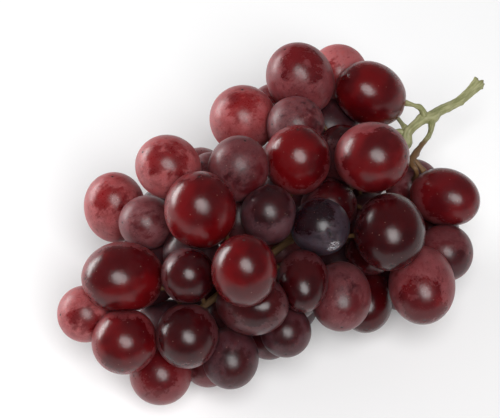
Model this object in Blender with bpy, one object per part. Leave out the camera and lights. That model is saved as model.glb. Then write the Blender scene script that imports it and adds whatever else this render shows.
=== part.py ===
"""A bunch of red table grapes, picked and lying on its side.

Lengths in the design are millimetres, and the meshes are in metres, +Z up. X runs along the bunch to the
cut end of its stalk, and the bunch rests on z = 0. The stem is one woody piece. The berries are a piece
for each spray, joined where ripe berries press on each other.
"""

import heapq
import math
from dataclasses import dataclass

import bmesh
import bpy
import numpy as np
from mathutils import Vector
from mathutils.kdtree import KDTree

MM = 0.001
DOWN = np.array([0.0, 0.0, -1.0])

# The side that the bunch is known from, looking down on it from the tip end. Its middle is the heart.
VIEW_AZIMUTH = math.radians(-40)
VIEW_ELEVATION = math.radians(55)
VIEW_DISTANCE = 470.0
HEART = np.array([0.0, 0.0, 31.5])
FLOOR_MIDDLE = np.array([9.8, -8.4, 0.0])

# How the berries lie
PRESS = 1.5
PRESS_MOST = 2.4
TABLE_PRESS = 0.8
GAP = 0.35
LEAN_TOWARD = math.radians(35)
SHELL_HALF = np.array([60.0, 40.0, 25.0])
SETTLE_TURNS = 600
SETTLE_SHARE = 0.25
SHELL_PULL = 0.02
LIFT_SHARE = 0.5
ABOVE_TABLE = 0.97

# The berries that fill the inside and the far side, in a rounded block
FILL_MIDDLE = np.array([-4.0, -7.0, 31.5])
FILL_HALF = np.array([66.0, 46.0, 26.0])
FILL_SQUARENESS = 2.6
FILL_SEED = 48
FILL_TRIES = 24000
FILL_FROM = (-72, -55, 9)
FILL_TO = (66, 45, 58)
FILL_RADII = (9.8, 12.2)
FILL_LEAST = 9.3
FILL_BERRIES = 60
FILL_TOUCHES = 3
SIZE_WORTH = 1.2
TABLE_TRIES = 12000
TABLE_FROM = (-64, -48, 0)
TABLE_TO = (58, 40, 0)
TABLE_RADII = (10.0, 12.0)
TABLE_BERRIES = 9
STALK_ROOM = 2.6
RIM_POINTS = 16
RIM_SHARE = 0.93
HIDE_MOST = 3.0
HIDDEN_WIDTH = 0.985
HIDDEN_LENGTH = 1.03

# How neighbours are brought together
NESTLE_TURNS = 30
NESTLE_PARTNERS = 6
PUSH_SHARE = 0.5
HOLDS = 2
HOLD_REACH = 7.0
HOLD_SHARE = 0.4
SLOPE_LEAST = 0.3
STALK_TOUCH = 0.6
MOVE_MOST = 1.0
JOIN_LEAST = 0.8
CROWD_COST = 4

# The woody parts
STALK_RADIUS = 1.45
AXIS_TIP_RADIUS = 0.95
TWIG_RADIUS_MOST = 1.3
THICKENING = 0.36
TWIG_START = 0.7
BERRY_STALK_START = 0.8
BERRY_STALK_RADIUS = 0.65
BERRY_STALK_FLARE = 1.1
FLARE_LENGTH = 0.4
TWIG_ROOM = 1.2
STRAIGHT = 0.6
SMOOTH_TURNS = 5
SMOOTH_SHARE = 0.45

# The places in the gaps between berries that twigs may run through
GAP_SEED = 11
GAP_TRIES = 14000
GAP_TURNS = 8
GAP_SHARE = 0.5
GAP_MOVE = 1.5
GAP_ROOM = 3.0
GAP_LEAST = 0.7
GAP_MOST = 8
GAP_MARGIN = 4.0
GAP_LOWEST = 4
ROOT_STEP = 3

# What a twig's way costs
STEP_LEAST = 1.0
STEP_MOST = 6.5
STEP_CHOICES = 16
STEP_STOPS = 5
STEP_GRAZE = -0.2
STEP_ROOM = 2.2
EXPOSED_COST = 40.0
COVER = 1.0
END_NEAREST = 1.2
END_FARTHEST = 6
END_SKIN_COST = 1.5
END_TURN_COST = 9
END_SHOW_COST = 25
END_SHOW_FROM = 0.2
CORE_MIDDLE = np.array([-0.9, -8.125, 30.5625])

# Facets
BERRY_SEGMENTS = 10
BERRY_RINGS = 6
STALK_SIDES = 8
WING_SIDES = 6
TWIG_SIDES = 5
FACET_SWELL = 1.01
CUT_SNAP = 0.02
SEAM_SIDE = (0.3, 0.9, 0.2)
SHARP = math.radians(60)

# The plain finishes, as linear colours
SKIN_COLOUR = (0.20, 0.015, 0.03)
SKIN_ROUGHNESS = 0.3
BARK_COLOUR = (0.24, 0.24, 0.08)
BARK_ROUGHNESS = 0.6

# Each berry in sight, as seen from that side: across and up from the heart, width, length, and the lean
# of its length from level, in degrees.
IN_SIGHT = {
    "back_1": (10, 47.5, 22.4, 25, -60),
    "back_2": (22.5, 49.5, 19.8, 19.8, 0),
    "stalk_side": (33.5, 43, 20.5, 23.8, -25),
    "back_3": (-9, 34.5, 22.4, 23, 90),
    "back_4": (1.5, 37.5, 17.8, 17.8, 0),
    "crown_1": (8.5, 32.5, 19.8, 19.8, 0),
    "crown_2": (9, 21, 22.4, 23.8, 90),
    "crown_3": (33.5, 22, 23.8, 25.4, 0),
    "wing_1": (48, 12.5, 17.8, 17.8, 0),
    "wing_2": (58.5, 9, 19.8, 23.8, -20),
    "wing_3": (57.5, -9.5, 19.5, 19.5, 0),
    "wing_4": (54, -2.5, 17.5, 17.5, 0),
    "near_1": (50, -20, 22.4, 26.4, 90),
    "near_2": (39.5, -2.5, 24.1, 26.4, 90),
    "near_3": (31.5, -25, 18.5, 22, 90),
    "near_4": (33, -9, 16.5, 16.5, 0),
    "near_5": (23.5, -24, 20.8, 23.8, 90),
    "middle_1": (16.5, -1, 19.5, 20.1, 0),
    "middle_2": (-0.5, 3, 19.1, 20.5, 90),
    "middle_3": (-10.5, 18, 20.5, 22.5, 75),
    "far_1": (-19, 16, 15.5, 15.5, 0),
    "far_2": (-33, 18.5, 21.1, 22.4, -30),
    "far_3": (-51.5, 5.5, 20.8, 23.8, 90),
    "far_4": (-41, 0.5, 18.5, 19.5, 0),
    "middle_4": (-23, 4.5, 24.4, 26.4, 90),
    "tip_1": (-49, -18, 23.4, 26.4, 0),
    "tip_2": (-27, -17, 18.5, 19.1, 90),
    "front_1": (-8.5, -15.5, 22.1, 24.6, 90),
    "front_2": (11, -19, 17.8, 22.1, 90),
    "tip_3": (-60.5, -29.5, 19.1, 19.1, 0),
    "tip_4": (-48, -38.5, 21.1, 21.5, 90),
    "tip_5": (-27.5, -37, 21.3, 22.3, 90),
    "front_3": (-5.8, -26.5, 21, 24.8, 0),
    "front_4": (5.2, -35.3, 17.2, 17.8, 90),
    "front_5": (-0.5, -37, 16, 16, 0),
    "front_6": (-13, -44, 19.1, 21.1, 90),
    "tip_6": (-20.5, -45.5, 17.2, 17.2, 0),
    "tip_7": (-36, -49.5, 21, 21, 0),
}

# Which berries each one hides a part of
HIDES = {
    "front_1": "middle_4 tip_2 front_3 front_2",
    "middle_4": "far_2 far_4 middle_3 tip_2 far_1",
    "tip_1": "far_3 far_4 tip_3 tip_4",
    "tip_2": "tip_5 tip_1",
    "tip_5": "tip_4 front_6 tip_7 tip_6",
    "tip_4": "tip_3 tip_7",
    "front_3": "front_6 front_4 front_5",
    "front_2": "near_5 front_3 front_4",
    "middle_2": "middle_3 middle_1",
    "middle_1": "near_5",
    "near_2": "near_5 near_1 wing_3 wing_2 near_4 wing_4",
    "near_5": "near_3 near_4",
    "near_1": "near_3 wing_3 near_4",
    "wing_2": "wing_3 wing_1 wing_4",
    "crown_3": "near_2 stalk_side wing_1",
    "stalk_side": "back_2 back_1",
    "crown_2": "crown_1",
    "crown_1": "back_1 back_3 back_4",
    "back_1": "back_2 back_4",
    "back_3": "back_4",
    "middle_3": "back_3 far_2 far_1",
    "far_2": "far_3 far_1",
    "far_4": "far_3 far_2",
    "front_6": "tip_6 front_5",
    "front_4": "front_5",
    "wing_3": "wing_4",
}

# The berries round the edge, in order. Nothing shows outside them.
EDGE = (
    "far_3 far_2 back_3 back_1 back_2 stalk_side crown_3 wing_1 wing_2 wing_3 near_1 near_3 near_5 "
    "front_4 front_6 tip_7 tip_4 tip_3"
)

# The stalk and the branches in sight, from the cut end on: across, up, toward the eye, and the radius
STALK_IN_SIGHT = (
    (69.3, 46.9, -33, 2.1),
    (65.3, 43.0, -29.5, 1.6),
    (61.4, 39.9, -26, STALK_RADIUS),
    (55.4, 37.0, -22, 1.6),
    (53.3, 35.2, -20, 2.1),
    (50.5, 34.6, -19.5, 1.6),
    (46.5, 31.4, -18, STALK_RADIUS),
    (45.2, 29.4, -17.5, 1.6),
    (45.2, 26.4, -17, STALK_RADIUS),
)
WING = (
    (53.3, 35.2, -20, 0.7),
    (53.4, 32.4, -18, 1.0),
    (52.5, 29.4, -14, 0.85),
    (49.8, 25.7, -8, 0.85),
    (48.0, 23.2, -4, 1.2),
    (46.6, 20.2, 0.2, 1.15),
    (48.2, 17.8, 2.2, 0.75),
)
UPPER_TWIG = (
    (50.5, 34.6, -19.5, 0.6),
    (50.7, 36.4, -18.5, 0.9),
    (49.5, 38.4, -17, 1.1),
    (47.5, 39.2, -15.5, BERRY_STALK_RADIUS),
)
BACK_TWIG = (
    (45.8, 30.4, -17.8, 0.6),
    (44.4, 32.0, -18.5, 0.8),
    (42.6, 34.3, -22, 0.7),
    (41.0, 36.5, -26, BERRY_STALK_RADIUS),
)
SIDE_TWIG = (
    (45.2, 29.4, -17.5, 0.6),
    (42.6, 30.4, -18, 0.9),
    (39.5, 30.0, -19, BERRY_STALK_RADIUS),
)

# Where the stalk enters the core, counted along it, and its run through the core
CORE_STARTS = 7
AXIS_IN_CORE = (
    (42, -5, 31),
    (30, -5, 30),
    (17, -6.5, 30),
    (5, -8, 30),
    (-8, -9, 30.5),
    (-20, -10, 31),
    (-33, -10.5, 31),
    (-45, -11, 31),
)

# The middle of each spray
SPRAYS = {
    "berries_tip": (-62, -5, 32),
    "berries_tip_under": (-42, -8, 14),
    "berries_far_tip": (-37, 22, 40),
    "berries_far": (-10, 27, 34),
    "berries_crest": (-20, -2, 55),
    "berries_front": (-20, -28, 42),
    "berries_near": (8, -38, 34),
    "berries_back": (38, 25, 40),
    "berries_crown": (15, 0, 58),
    "berries_wing": (42, -32, 36),
    "berries_under": (12, 5, 12),
}


@dataclass
class Berry:
    """One grape: its middle, half its width and length, and which way its length points."""

    middle: np.ndarray
    half_width: float
    half_length: float
    along: np.ndarray

    @property
    def radius(self):
        return (2 * self.half_width + self.half_length) / 3

    def reach(self, way):
        """How far the skin reaches from the middle in a direction, as a plane square to it would find."""
        share = float(self.along @ way)
        return math.hypot(self.half_length * share, self.half_width * math.sqrt(max(0.0, 1 - share**2)))


@dataclass
class Twig:
    """A run of wood: its points and its radius at each."""

    points: list
    radii: list
    sides: int = TWIG_SIDES


def unit(vector):
    return vector / np.linalg.norm(vector)


def view_axes():
    """Across, up and toward the eye, for the side that the bunch is known from."""
    level = math.cos(VIEW_ELEVATION)
    toward = np.array(
        [math.sin(VIEW_AZIMUTH) * level, -math.cos(VIEW_AZIMUTH) * level, math.sin(VIEW_ELEVATION)]
    )
    across = np.array([math.cos(VIEW_AZIMUTH), math.sin(VIEW_AZIMUTH), 0.0])
    return across, np.cross(toward, across), toward


ACROSS, UP, TOWARD = view_axes()


def seen_at(across, up, forward):
    """The point that is seen across and up from the heart, forward of it. Nearer things look larger."""
    nearness = 1 - forward / VIEW_DISTANCE
    return HEART + across * nearness * ACROSS + up * nearness * UP + forward * TOWARD


def look_of(point):
    """Where a point is seen, and how much smaller than it looks the thing there really is."""
    offset = point - HEART
    nearness = 1 - float(offset @ TOWARD) / VIEW_DISTANCE
    return np.array([offset @ ACROSS, offset @ UP]) / nearness, nearness


def shell_depth(across, up):
    """How far forward the shell of outer berries lies behind that place, or its nearest edge."""
    start = (seen_at(across, up, 0.0) - HEART) / SHELL_HALF
    step = (seen_at(across, up, 1.0) - seen_at(across, up, 0.0)) / SHELL_HALF
    squared = step @ step
    half_linear = start @ step
    inside = half_linear**2 - squared * (start @ start - 1)
    return (-half_linear + math.sqrt(max(0.0, inside))) / squared


def settle_depths():
    """Moves the berries in sight forward and back until they only press on each other, in their order."""
    names = list(IN_SIGHT)
    place = np.array([IN_SIGHT[name][:2] for name in names], float)
    size = np.array([sum(IN_SIGHT[name][2:4]) / 4 for name in names])
    before = np.zeros((len(names), len(names)))
    for front, hidden in HIDES.items():
        for name in hidden.split():
            before[names.index(front), names.index(name)] = 1
            before[names.index(name), names.index(front)] = -1
    shell = np.array([shell_depth(*spot) for spot in place])
    forward = shell.copy()
    for _ in range(SETTLE_TURNS):
        middles = np.array([seen_at(*spot, depth) for spot, depth in zip(place, forward)])
        radii = size * (1 - forward / VIEW_DISTANCE)
        ahead = forward[:, None] - forward[None, :]
        aside = np.sum((middles[:, None] - middles[None, :]) ** 2, axis=2) - ahead**2
        needed = np.sqrt(np.maximum(0.0, (radii[:, None] + radii[None, :] - PRESS) ** 2 - aside))
        sign = np.where(before != 0, before, np.where(ahead >= 0, 1, -1))
        short = np.maximum(0.0, needed - ahead * sign)
        np.fill_diagonal(short, 0.0)
        forward += SETTLE_SHARE * np.sum(short * sign, axis=1) + SHELL_PULL * (shell - forward)
        sunk = radii * ABOVE_TABLE - middles[:, 2]
        forward += np.maximum(0.0, sunk) * LIFT_SHARE / TOWARD[2]
    return dict(zip(names, forward))


def nearest_on(points, start, end):
    """The nearest place to each point on a straight run."""
    run = end - start
    share = np.clip((points - start) @ run / (run @ run), 0, 1)
    return start + share[..., None] * run


def nearest_on_twigs(points, twigs):
    """The nearest place to each point on any of the twigs."""
    found = None
    least = None
    for twig in twigs:
        for start, end in zip(twig.points, twig.points[1:]):
            place = nearest_on(points, start, end)
            apart = np.linalg.norm(points - place, axis=-1)
            if found is None:
                found, least = place, apart
                continue
            nearer = apart < least
            found = np.where(nearer[..., None], place, found)
            least = np.where(nearer, apart, least)
    return found


def twig_in_sight(spots, sides):
    """The twig that is seen to run through some spots, each with its radius."""
    return Twig([seen_at(*spot[:3]) for spot in spots], [spot[3] for spot in spots], sides)


def main_twigs():
    """The stalk with the axis through the core, and the branches in sight."""
    stalk = twig_in_sight(STALK_IN_SIGHT, STALK_SIDES)
    stalk.points += [np.array(spot, float) for spot in AXIS_IN_CORE]
    stalk.radii += np.linspace(STALK_RADIUS, AXIS_TIP_RADIUS, len(AXIS_IN_CORE) + 1)[1:].tolist()
    branches = [twig_in_sight(WING, WING_SIDES)]
    branches += [twig_in_sight(spots, TWIG_SIDES) for spots in (UPPER_TWIG, BACK_TWIG, SIDE_TWIG)]
    return stalk, branches


def berries_in_sight(stalk):
    """The berries of the table, each with its stem end turned to the core."""
    berries = {}
    for name, forward in settle_depths().items():
        across, up, width, length, lean = IN_SIGHT[name]
        middle = seen_at(across, up, forward)
        nearness = 1 - forward / VIEW_DISTANCE
        outward = middle - nearest_on_twigs(middle[None], [stalk])[0]
        leaning = math.cos(math.radians(lean)) * ACROSS + math.sin(math.radians(lean)) * UP
        leaning *= 1 if leaning @ outward >= 0 else -1
        along = math.cos(LEAN_TOWARD) * leaning + math.sin(LEAN_TOWARD) * TOWARD
        half_width = width / 2 * nearness
        seen_square = (length / 2 * nearness) ** 2 - (half_width * math.sin(LEAN_TOWARD)) ** 2
        half_length = math.sqrt(seen_square) / math.cos(LEAN_TOWARD)
        berries[name] = Berry(middle, half_width, half_length, along)
    return berries


def inside_edge(spots):
    """Whether each place as seen lies inside the line through the berries round the edge."""
    corners = np.array([IN_SIGHT[name][:2] for name in EDGE.split()], float)
    ends = np.roll(corners, -1, axis=0)
    runs = ends - corners
    x, y = spots[:, :1], spots[:, 1:]
    straddles = (corners[:, 1] > y) != (ends[:, 1] > y)
    crossing = corners[:, 0] + runs[:, 0] * (y - corners[:, 1]) / runs[:, 1]
    return np.sum(straddles & (x < crossing), axis=1) % 2 == 1


def out_of_sight(middle, radius, in_front):
    """Whether a berry there lies behind those in sight, and would show only in the gaps between them."""
    spot, nearness = look_of(middle)
    turns = np.linspace(0, 2 * math.pi, RIM_POINTS, endpoint=False)
    rim = spot + RIM_SHARE * radius / nearness * np.stack([np.cos(turns), np.sin(turns)], axis=1)
    shown = np.array([row[:2] for row in IN_SIGHT.values()], float)
    shown_radii = np.array([sum(row[2:4]) / 4 for row in IN_SIGHT.values()])
    overlap = shown_radii + radius / nearness - np.linalg.norm(shown - spot, axis=1)
    if ((overlap > HIDE_MOST) & ((in_front - middle) @ TOWARD < 0)).any():
        return False
    covered = (np.linalg.norm(rim[:, None] - shown, axis=2) < shown_radii).any(axis=1)
    return bool((covered | inside_edge(rim)).all())


def within_fill(places, margin=0.0):
    """Which places lie in the rounded block that the bunch fills."""
    return (np.abs((places - FILL_MIDDLE) / (FILL_HALF - margin)) ** FILL_SQUARENESS).sum(axis=1) < 1


def fill(middles, radii, places, room, most):
    """Adds berries one by one, each where it presses on three others best, until no place is left."""
    gaps = np.linalg.norm(places[:, None] - np.array(middles), axis=2) - np.array(radii)
    room = room.copy()
    for _ in range(most):
        size = np.minimum(gaps.min(axis=1) + PRESS, room)
        nearest = np.sort(gaps, axis=1)[:, :FILL_TOUCHES]
        looseness = np.maximum(nearest - size[:, None], -PRESS).sum(axis=1)
        score = np.where(size >= FILL_LEAST, looseness - SIZE_WORTH * size, np.inf)
        for choice in np.argsort(score):
            if not np.isfinite(score[choice]):
                return
            if out_of_sight(places[choice], size[choice], np.array(middles[: len(IN_SIGHT)])):
                break
            room[choice] = 0
        middles.append(places[choice])
        radii.append(float(size[choice]))
        added = np.linalg.norm(places - places[choice], axis=1) - size[choice]
        gaps = np.concatenate([gaps, added[:, None]], axis=1)


def berries_out_of_sight(shown, twigs):
    """The berries on the table under the bunch, then those that fill its inside and its far side."""
    draw = np.random.default_rng(FILL_SEED)
    middles = [berry.middle for berry in shown]
    radii = [berry.radius for berry in shown]

    def clear_of_stalk(places):
        return np.linalg.norm(places - nearest_on_twigs(places, twigs), axis=1) - STALK_ROOM

    lying = draw.uniform(TABLE_FROM, TABLE_TO, (TABLE_TRIES, 3))
    sizes = draw.uniform(*TABLE_RADII, len(lying))
    lying[:, 2] = sizes - TABLE_PRESS
    kept = within_fill(lying)
    lying = lying[kept]
    fill(middles, radii, lying, np.minimum(sizes[kept], clear_of_stalk(lying)), TABLE_BERRIES)

    inner = draw.uniform(FILL_FROM, FILL_TO, (FILL_TRIES, 3))
    inner = inner[within_fill(inner)]
    room = np.minimum(draw.uniform(*FILL_RADII, len(inner)), inner[:, 2] / ABOVE_TABLE)
    fill(middles, radii, inner, np.minimum(room, clear_of_stalk(inner)), FILL_BERRIES)

    hidden = []
    for middle, radius in zip(middles[len(shown) :], radii[len(shown) :]):
        outward = unit(middle - nearest_on_twigs(middle[None], twigs[:1])[0])
        hidden.append(Berry(middle, radius * HIDDEN_WIDTH, radius * HIDDEN_LENGTH, outward))
    return hidden


def nearest_skin(points, middles, radii):
    """The way out of the nearest berry from each point, and how far its skin is."""
    offsets = points[:, None] - middles
    apart = np.linalg.norm(offsets, axis=2)
    nearest = np.argmin(apart - radii, axis=1)
    rows = np.arange(len(points))
    way = offsets[rows, nearest] / apart[rows, nearest][:, None]
    return way, (apart - radii)[rows, nearest]


def gap_points(middles, radii):
    """Places in the gaps between berries, each moved to the middle of its gap."""
    draw = np.random.default_rng(GAP_SEED)
    points = draw.uniform(FILL_MIDDLE - FILL_HALF, FILL_MIDDLE + FILL_HALF, (GAP_TRIES, 3))
    for _ in range(GAP_TURNS):
        way, clear = nearest_skin(points, middles, radii)
        points += way * np.clip(GAP_ROOM - clear, 0, GAP_MOVE)[:, None] * GAP_SHARE
    _, clear = nearest_skin(points, middles, radii)
    roomy = (clear > GAP_LEAST) & (clear < GAP_MOST)
    return points[roomy & within_fill(points, GAP_MARGIN) & (points[:, 2] > GAP_LOWEST)]


class Wood:
    """The woody skeleton: twigs that find their way from the axis to each berry through the gaps."""

    def __init__(self, berries, stalk, branches):
        self.berries = berries
        self.middles = np.array([berry.middle for berry in berries])
        self.radii = np.array([berry.radius for berry in berries])
        self.roots = self.root_points([stalk, *branches])
        self.points = np.concatenate([self.roots, gap_points(self.middles, self.radii)])
        self.exposed = ~np.array([self.behind_berries(point) for point in self.points])
        self.costs, self.parents = self.spread()

    def root_points(self, twigs):
        """Places a few millimetres apart along the wood that is already there, inside the bunch."""
        found = []
        for twig in twigs:
            first = CORE_STARTS if twig.sides == STALK_SIDES else 1
            for start, end in zip(twig.points[first:], twig.points[first + 1 :]):
                count = max(1, round(float(np.linalg.norm(end - start)) / ROOT_STEP))
                found += [start + (end - start) * step / count for step in range(count)]
            found.append(twig.points[-1])
        return np.array(found)

    def behind_berries(self, point):
        """Whether a berry hides the point from the eye."""
        spot, _ = look_of(point)
        for middle, radius in zip(self.middles, self.radii):
            if (middle - point) @ TOWARD > 0:
                shown, nearness = look_of(middle)
                if np.linalg.norm(shown - spot) < radius / nearness - COVER:
                    return True
        return False

    def step_cost(self, start, end):
        """The length of a step, dearer where the gap is narrow. None where a berry is in the way."""
        stops = start + (end - start) * np.linspace(0, 1, STEP_STOPS)[:, None]
        _, clear = nearest_skin(stops, self.middles, self.radii)
        if clear[1:].min() < STEP_GRAZE:
            return None
        return float(np.linalg.norm(end - start)) * (1 + float(np.maximum(0, STEP_ROOM - clear).mean()))

    def spread(self):
        """The cheapest way from the roots to every place in the gaps."""
        tree = KDTree(len(self.points))
        for index, point in enumerate(self.points):
            tree.insert(point, index)
        tree.balance()
        costs = np.full(len(self.points), np.inf)
        costs[: len(self.roots)] = 0.0
        parents = np.full(len(self.points), -1)
        queue = [(0.0, index) for index in range(len(self.roots))]
        settled = set()
        while queue:
            cost, index = heapq.heappop(queue)
            if index in settled:
                continue
            settled.add(index)
            for _, other, apart in tree.find_n(self.points[index], STEP_CHOICES):
                if other in settled or apart > STEP_MOST or apart < STEP_LEAST:
                    continue
                if cost + apart >= costs[other]:
                    continue
                step = self.step_cost(self.points[index], self.points[other])
                if step is None:
                    continue
                step += EXPOSED_COST * self.exposed[other]
                if cost + step < costs[other]:
                    costs[other] = cost + step
                    parents[other] = index
                    heapq.heappush(queue, (cost + step, other))
        return costs, parents

    def end_for(self, berry):
        """The place that a berry's own stalk starts from: close to it, inside, and cheap to reach."""
        offsets = self.points - berry.middle
        apart = np.linalg.norm(offsets, axis=1)
        above_skin = apart - berry.radius
        inward = -unit(berry.middle - CORE_MIDDLE)
        turned = 1 - offsets @ inward / apart
        shows = np.maximum(0, offsets @ TOWARD / apart + END_SHOW_FROM)
        cost = self.costs + END_SKIN_COST * above_skin + END_TURN_COST * turned + END_SHOW_COST * shows
        cost[(above_skin < END_NEAREST) | (above_skin > END_FARTHEST)] = np.inf
        return int(np.argmin(cost))


def tip_of(berry, start):
    """Where a berry's stalk ends, just off its skin."""
    way = unit(start - berry.middle)
    return berry.middle + way * (berry.reach(way) + GAP)


def straighten(twig, forks):
    """Drops the points of a twig that its run hardly needs and where nothing branches off."""
    number = 1
    while number < len(twig.points) - 1:
        before, place, after = twig.points[number - 1 : number + 2]
        aside = np.linalg.norm(place - nearest_on(place[None], before, after)[0])
        if aside < STRAIGHT and tuple(place) not in forks:
            del twig.points[number]
            del twig.radii[number]
        else:
            number += 1


def grow_twigs(wood, served):
    """Joins the ways to all the berries into branching twigs, thicker where they carry more."""
    ends = {}
    carried = {}
    children = {}
    for number, berry in enumerate(wood.berries):
        if number in served:
            continue
        end = wood.end_for(berry)
        ends.setdefault(end, []).append(number)
        node = end
        while node >= 0:
            carried[node] = carried.get(node, 0) + 1
            parent = int(wood.parents[node])
            if parent >= 0:
                children.setdefault(parent, set()).add(node)
            node = parent
    places = {node: wood.points[node].copy() for node in carried}
    for _ in range(SMOOTH_TURNS):
        moved = {}
        for node, place in places.items():
            parent = int(wood.parents[node])
            after = children.get(node, set())
            if parent < 0 or not after:
                continue
            around = [places[parent], *[places[child] for child in after]]
            smoothed = (1 - SMOOTH_SHARE) * place + SMOOTH_SHARE * np.mean(around, axis=0)
            stops = np.array([smoothed, (smoothed + places[parent]) / 2])
            ways, clear = nearest_skin(stops, wood.middles, wood.radii)
            moved[node] = smoothed + ways.T @ np.maximum(0.0, TWIG_ROOM - clear)
        places.update(moved)

    def radius(node):
        return min(TWIG_RADIUS_MOST, BERRY_STALK_RADIUS * carried[node] ** THICKENING)

    twigs = []
    starts = sorted(
        (parent, child) for parent, found in children.items() for child in found if wood.parents[parent] < 0
    )
    while starts:
        parent, node = starts.pop()
        points = [places[parent]]
        radii = [radius(node) * TWIG_START]
        while True:
            points.append(places[node])
            radii.append(radius(node))
            after = sorted(children.get(node, ()), key=lambda child: -carried[child])
            if not after:
                break
            starts += [(node, child) for child in after[1:]]
            node = after[0]
        twigs.append([Twig(points, radii), node])
    made = [twig for twig, _ in twigs]
    forks = {tuple(twig.points[0]) for twig in made}
    for twig in made:
        straighten(twig, forks)
    last = {node: twig for twig, node in twigs}
    for end, numbers in sorted(ends.items()):
        for number in numbers:
            berry = wood.berries[number]
            tip = tip_of(berry, places[end])
            near = tip + (places[end] - tip) * FLARE_LENGTH
            if end in last:
                twig = last.pop(end)
            else:
                twig = Twig([places[end]], [BERRY_STALK_RADIUS * BERRY_STALK_START])
                made.append(twig)
            twig.points += [near, tip]
            twig.radii += [BERRY_STALK_RADIUS, BERRY_STALK_FLARE]
    return made


def end_at_berry(twig, berry):
    """Runs a branch on to the berry that hangs on it."""
    tip = tip_of(berry, twig.points[-1])
    twig.points.append(tip)
    twig.radii.append(BERRY_STALK_FLARE)


def plan():
    """All berries and all wood of the bunch."""
    stalk, branches = main_twigs()
    shown = berries_in_sight(stalk)
    names = list(shown)
    berries = list(shown.values())
    berries += berries_out_of_sight(berries, [stalk, *branches])
    nestle(berries, len(shown), [stalk, *branches])
    wood = Wood(berries, stalk, branches)
    served = {names.index("wing_1"), names.index("stalk_side")}
    end_at_berry(branches[0], shown["wing_1"])
    end_at_berry(branches[1], shown["stalk_side"])
    return berries, [stalk, *branches, *grow_twigs(wood, served)]


def pressed(first, second):
    """How deep two berries press into each other."""
    way = second.middle - first.middle
    apart = float(np.linalg.norm(way))
    return first.reach(way / apart) + second.reach(-way / apart) - apart


def nestle(berries, in_sight, twigs):
    """Brings every berry against its neighbours, those in sight by moving only to and from the eye."""
    for _ in range(NESTLE_TURNS):
        for number, berry in enumerate(berries):
            others = [other for other in berries if other is not berry]
            depths = np.array([pressed(berry, other) for other in others])
            ways = np.array([unit(other.middle - berry.middle) for other in others])
            if number < in_sight:
                ways = (ways @ TOWARD)[:, None] * TOWARD
            slope = np.linalg.norm(ways, axis=1)
            move = np.zeros(3)
            deepest = np.argsort(-depths)[:NESTLE_PARTNERS]
            for other in deepest:
                if depths[other] > PRESS_MOST:
                    move -= ways[other] * (depths[other] - PRESS_MOST) * PUSH_SHARE
            facing = slope > SLOPE_LEAST
            effort = np.where(facing, (PRESS - depths) / np.maximum(slope, SLOPE_LEAST), np.inf)
            for other in np.argsort(effort)[:HOLDS]:
                if 0 < effort[other] < HOLD_REACH:
                    move += ways[other] * (PRESS - depths[other]) * HOLD_SHARE / slope[other] ** 2
            offset = berry.middle - nearest_on_twigs(berry.middle[None], twigs)[0]
            apart = float(np.linalg.norm(offset))
            crowded = berry.radius + STALK_ROOM - STALK_TOUCH - apart
            if crowded > 0:
                push = offset / apart * crowded
                move += push if number >= in_sight else (push @ TOWARD) * TOWARD
            size = float(np.linalg.norm(move))
            if size > 0:
                berry.middle = berry.middle + move * min(1.0, MOVE_MOST / size)
            sunk = berry.reach(DOWN) - TABLE_PRESS - float(berry.middle[2])
            if sunk > 0:
                rise = TOWARD / TOWARD[2] if number < in_sight else -DOWN
                berry.middle = berry.middle + rise * sunk


def share_out(berries):
    """Grows each spray from its middle, berry by berry. Gives the berries and the joins of each."""
    count = len(berries)
    press = np.array([[pressed(a, b) if a is not b else 0.0 for b in berries] for a in berries])
    middles = np.array([berry.middle for berry in berries])
    members = {}
    taken = set()
    for name, spot in SPRAYS.items():
        order = np.argsort(np.linalg.norm(middles - np.array(spot), axis=1))
        first = next(int(number) for number in order if int(number) not in taken)
        members[name] = [first]
        taken.add(first)
    joins = {name: [] for name in SPRAYS}
    while len(taken) < count:
        best = None
        for name, inside in members.items():
            heart = middles[inside].mean(axis=0)
            for number in range(count):
                if number in taken:
                    continue
                partner = max(inside, key=lambda other: press[other, number])
                if press[partner, number] < JOIN_LEAST:
                    continue
                cost = float(np.linalg.norm(middles[number] - heart)) + CROWD_COST * len(inside)
                if best is None or cost < best[0]:
                    best = (cost, name, number, partner)
        if best is None:
            raise RuntimeError(f"berries on their own: {sorted(set(range(count)) - taken)}")
        _, name, number, partner = best
        members[name].append(number)
        joins[name].append((partner, number))
        taken.add(number)
    return members, joins


def in_part(point):
    """A place of the design in the part's own frame, in metres."""
    return Vector((point - FLOOR_MIDDLE) * MM)


def paint(name, colour, roughness):
    material = bpy.data.materials.new(name)
    material.diffuse_color = (*colour, 1)
    material.use_nodes = True
    surface = material.node_tree.nodes["Principled BSDF"]
    surface.inputs["Base Color"].default_value = (*colour, 1)
    surface.inputs["Roughness"].default_value = roughness
    surface.inputs["Metallic"].default_value = 0.0
    return material


def solid_object(bm, name):
    """Closes the mesh's shading and makes an object of it."""
    bmesh.ops.recalc_face_normals(bm, faces=bm.faces)
    mesh = bpy.data.meshes.new(name)
    bm.to_mesh(mesh)
    bm.free()
    return bpy.data.objects.new(name, mesh)


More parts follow.
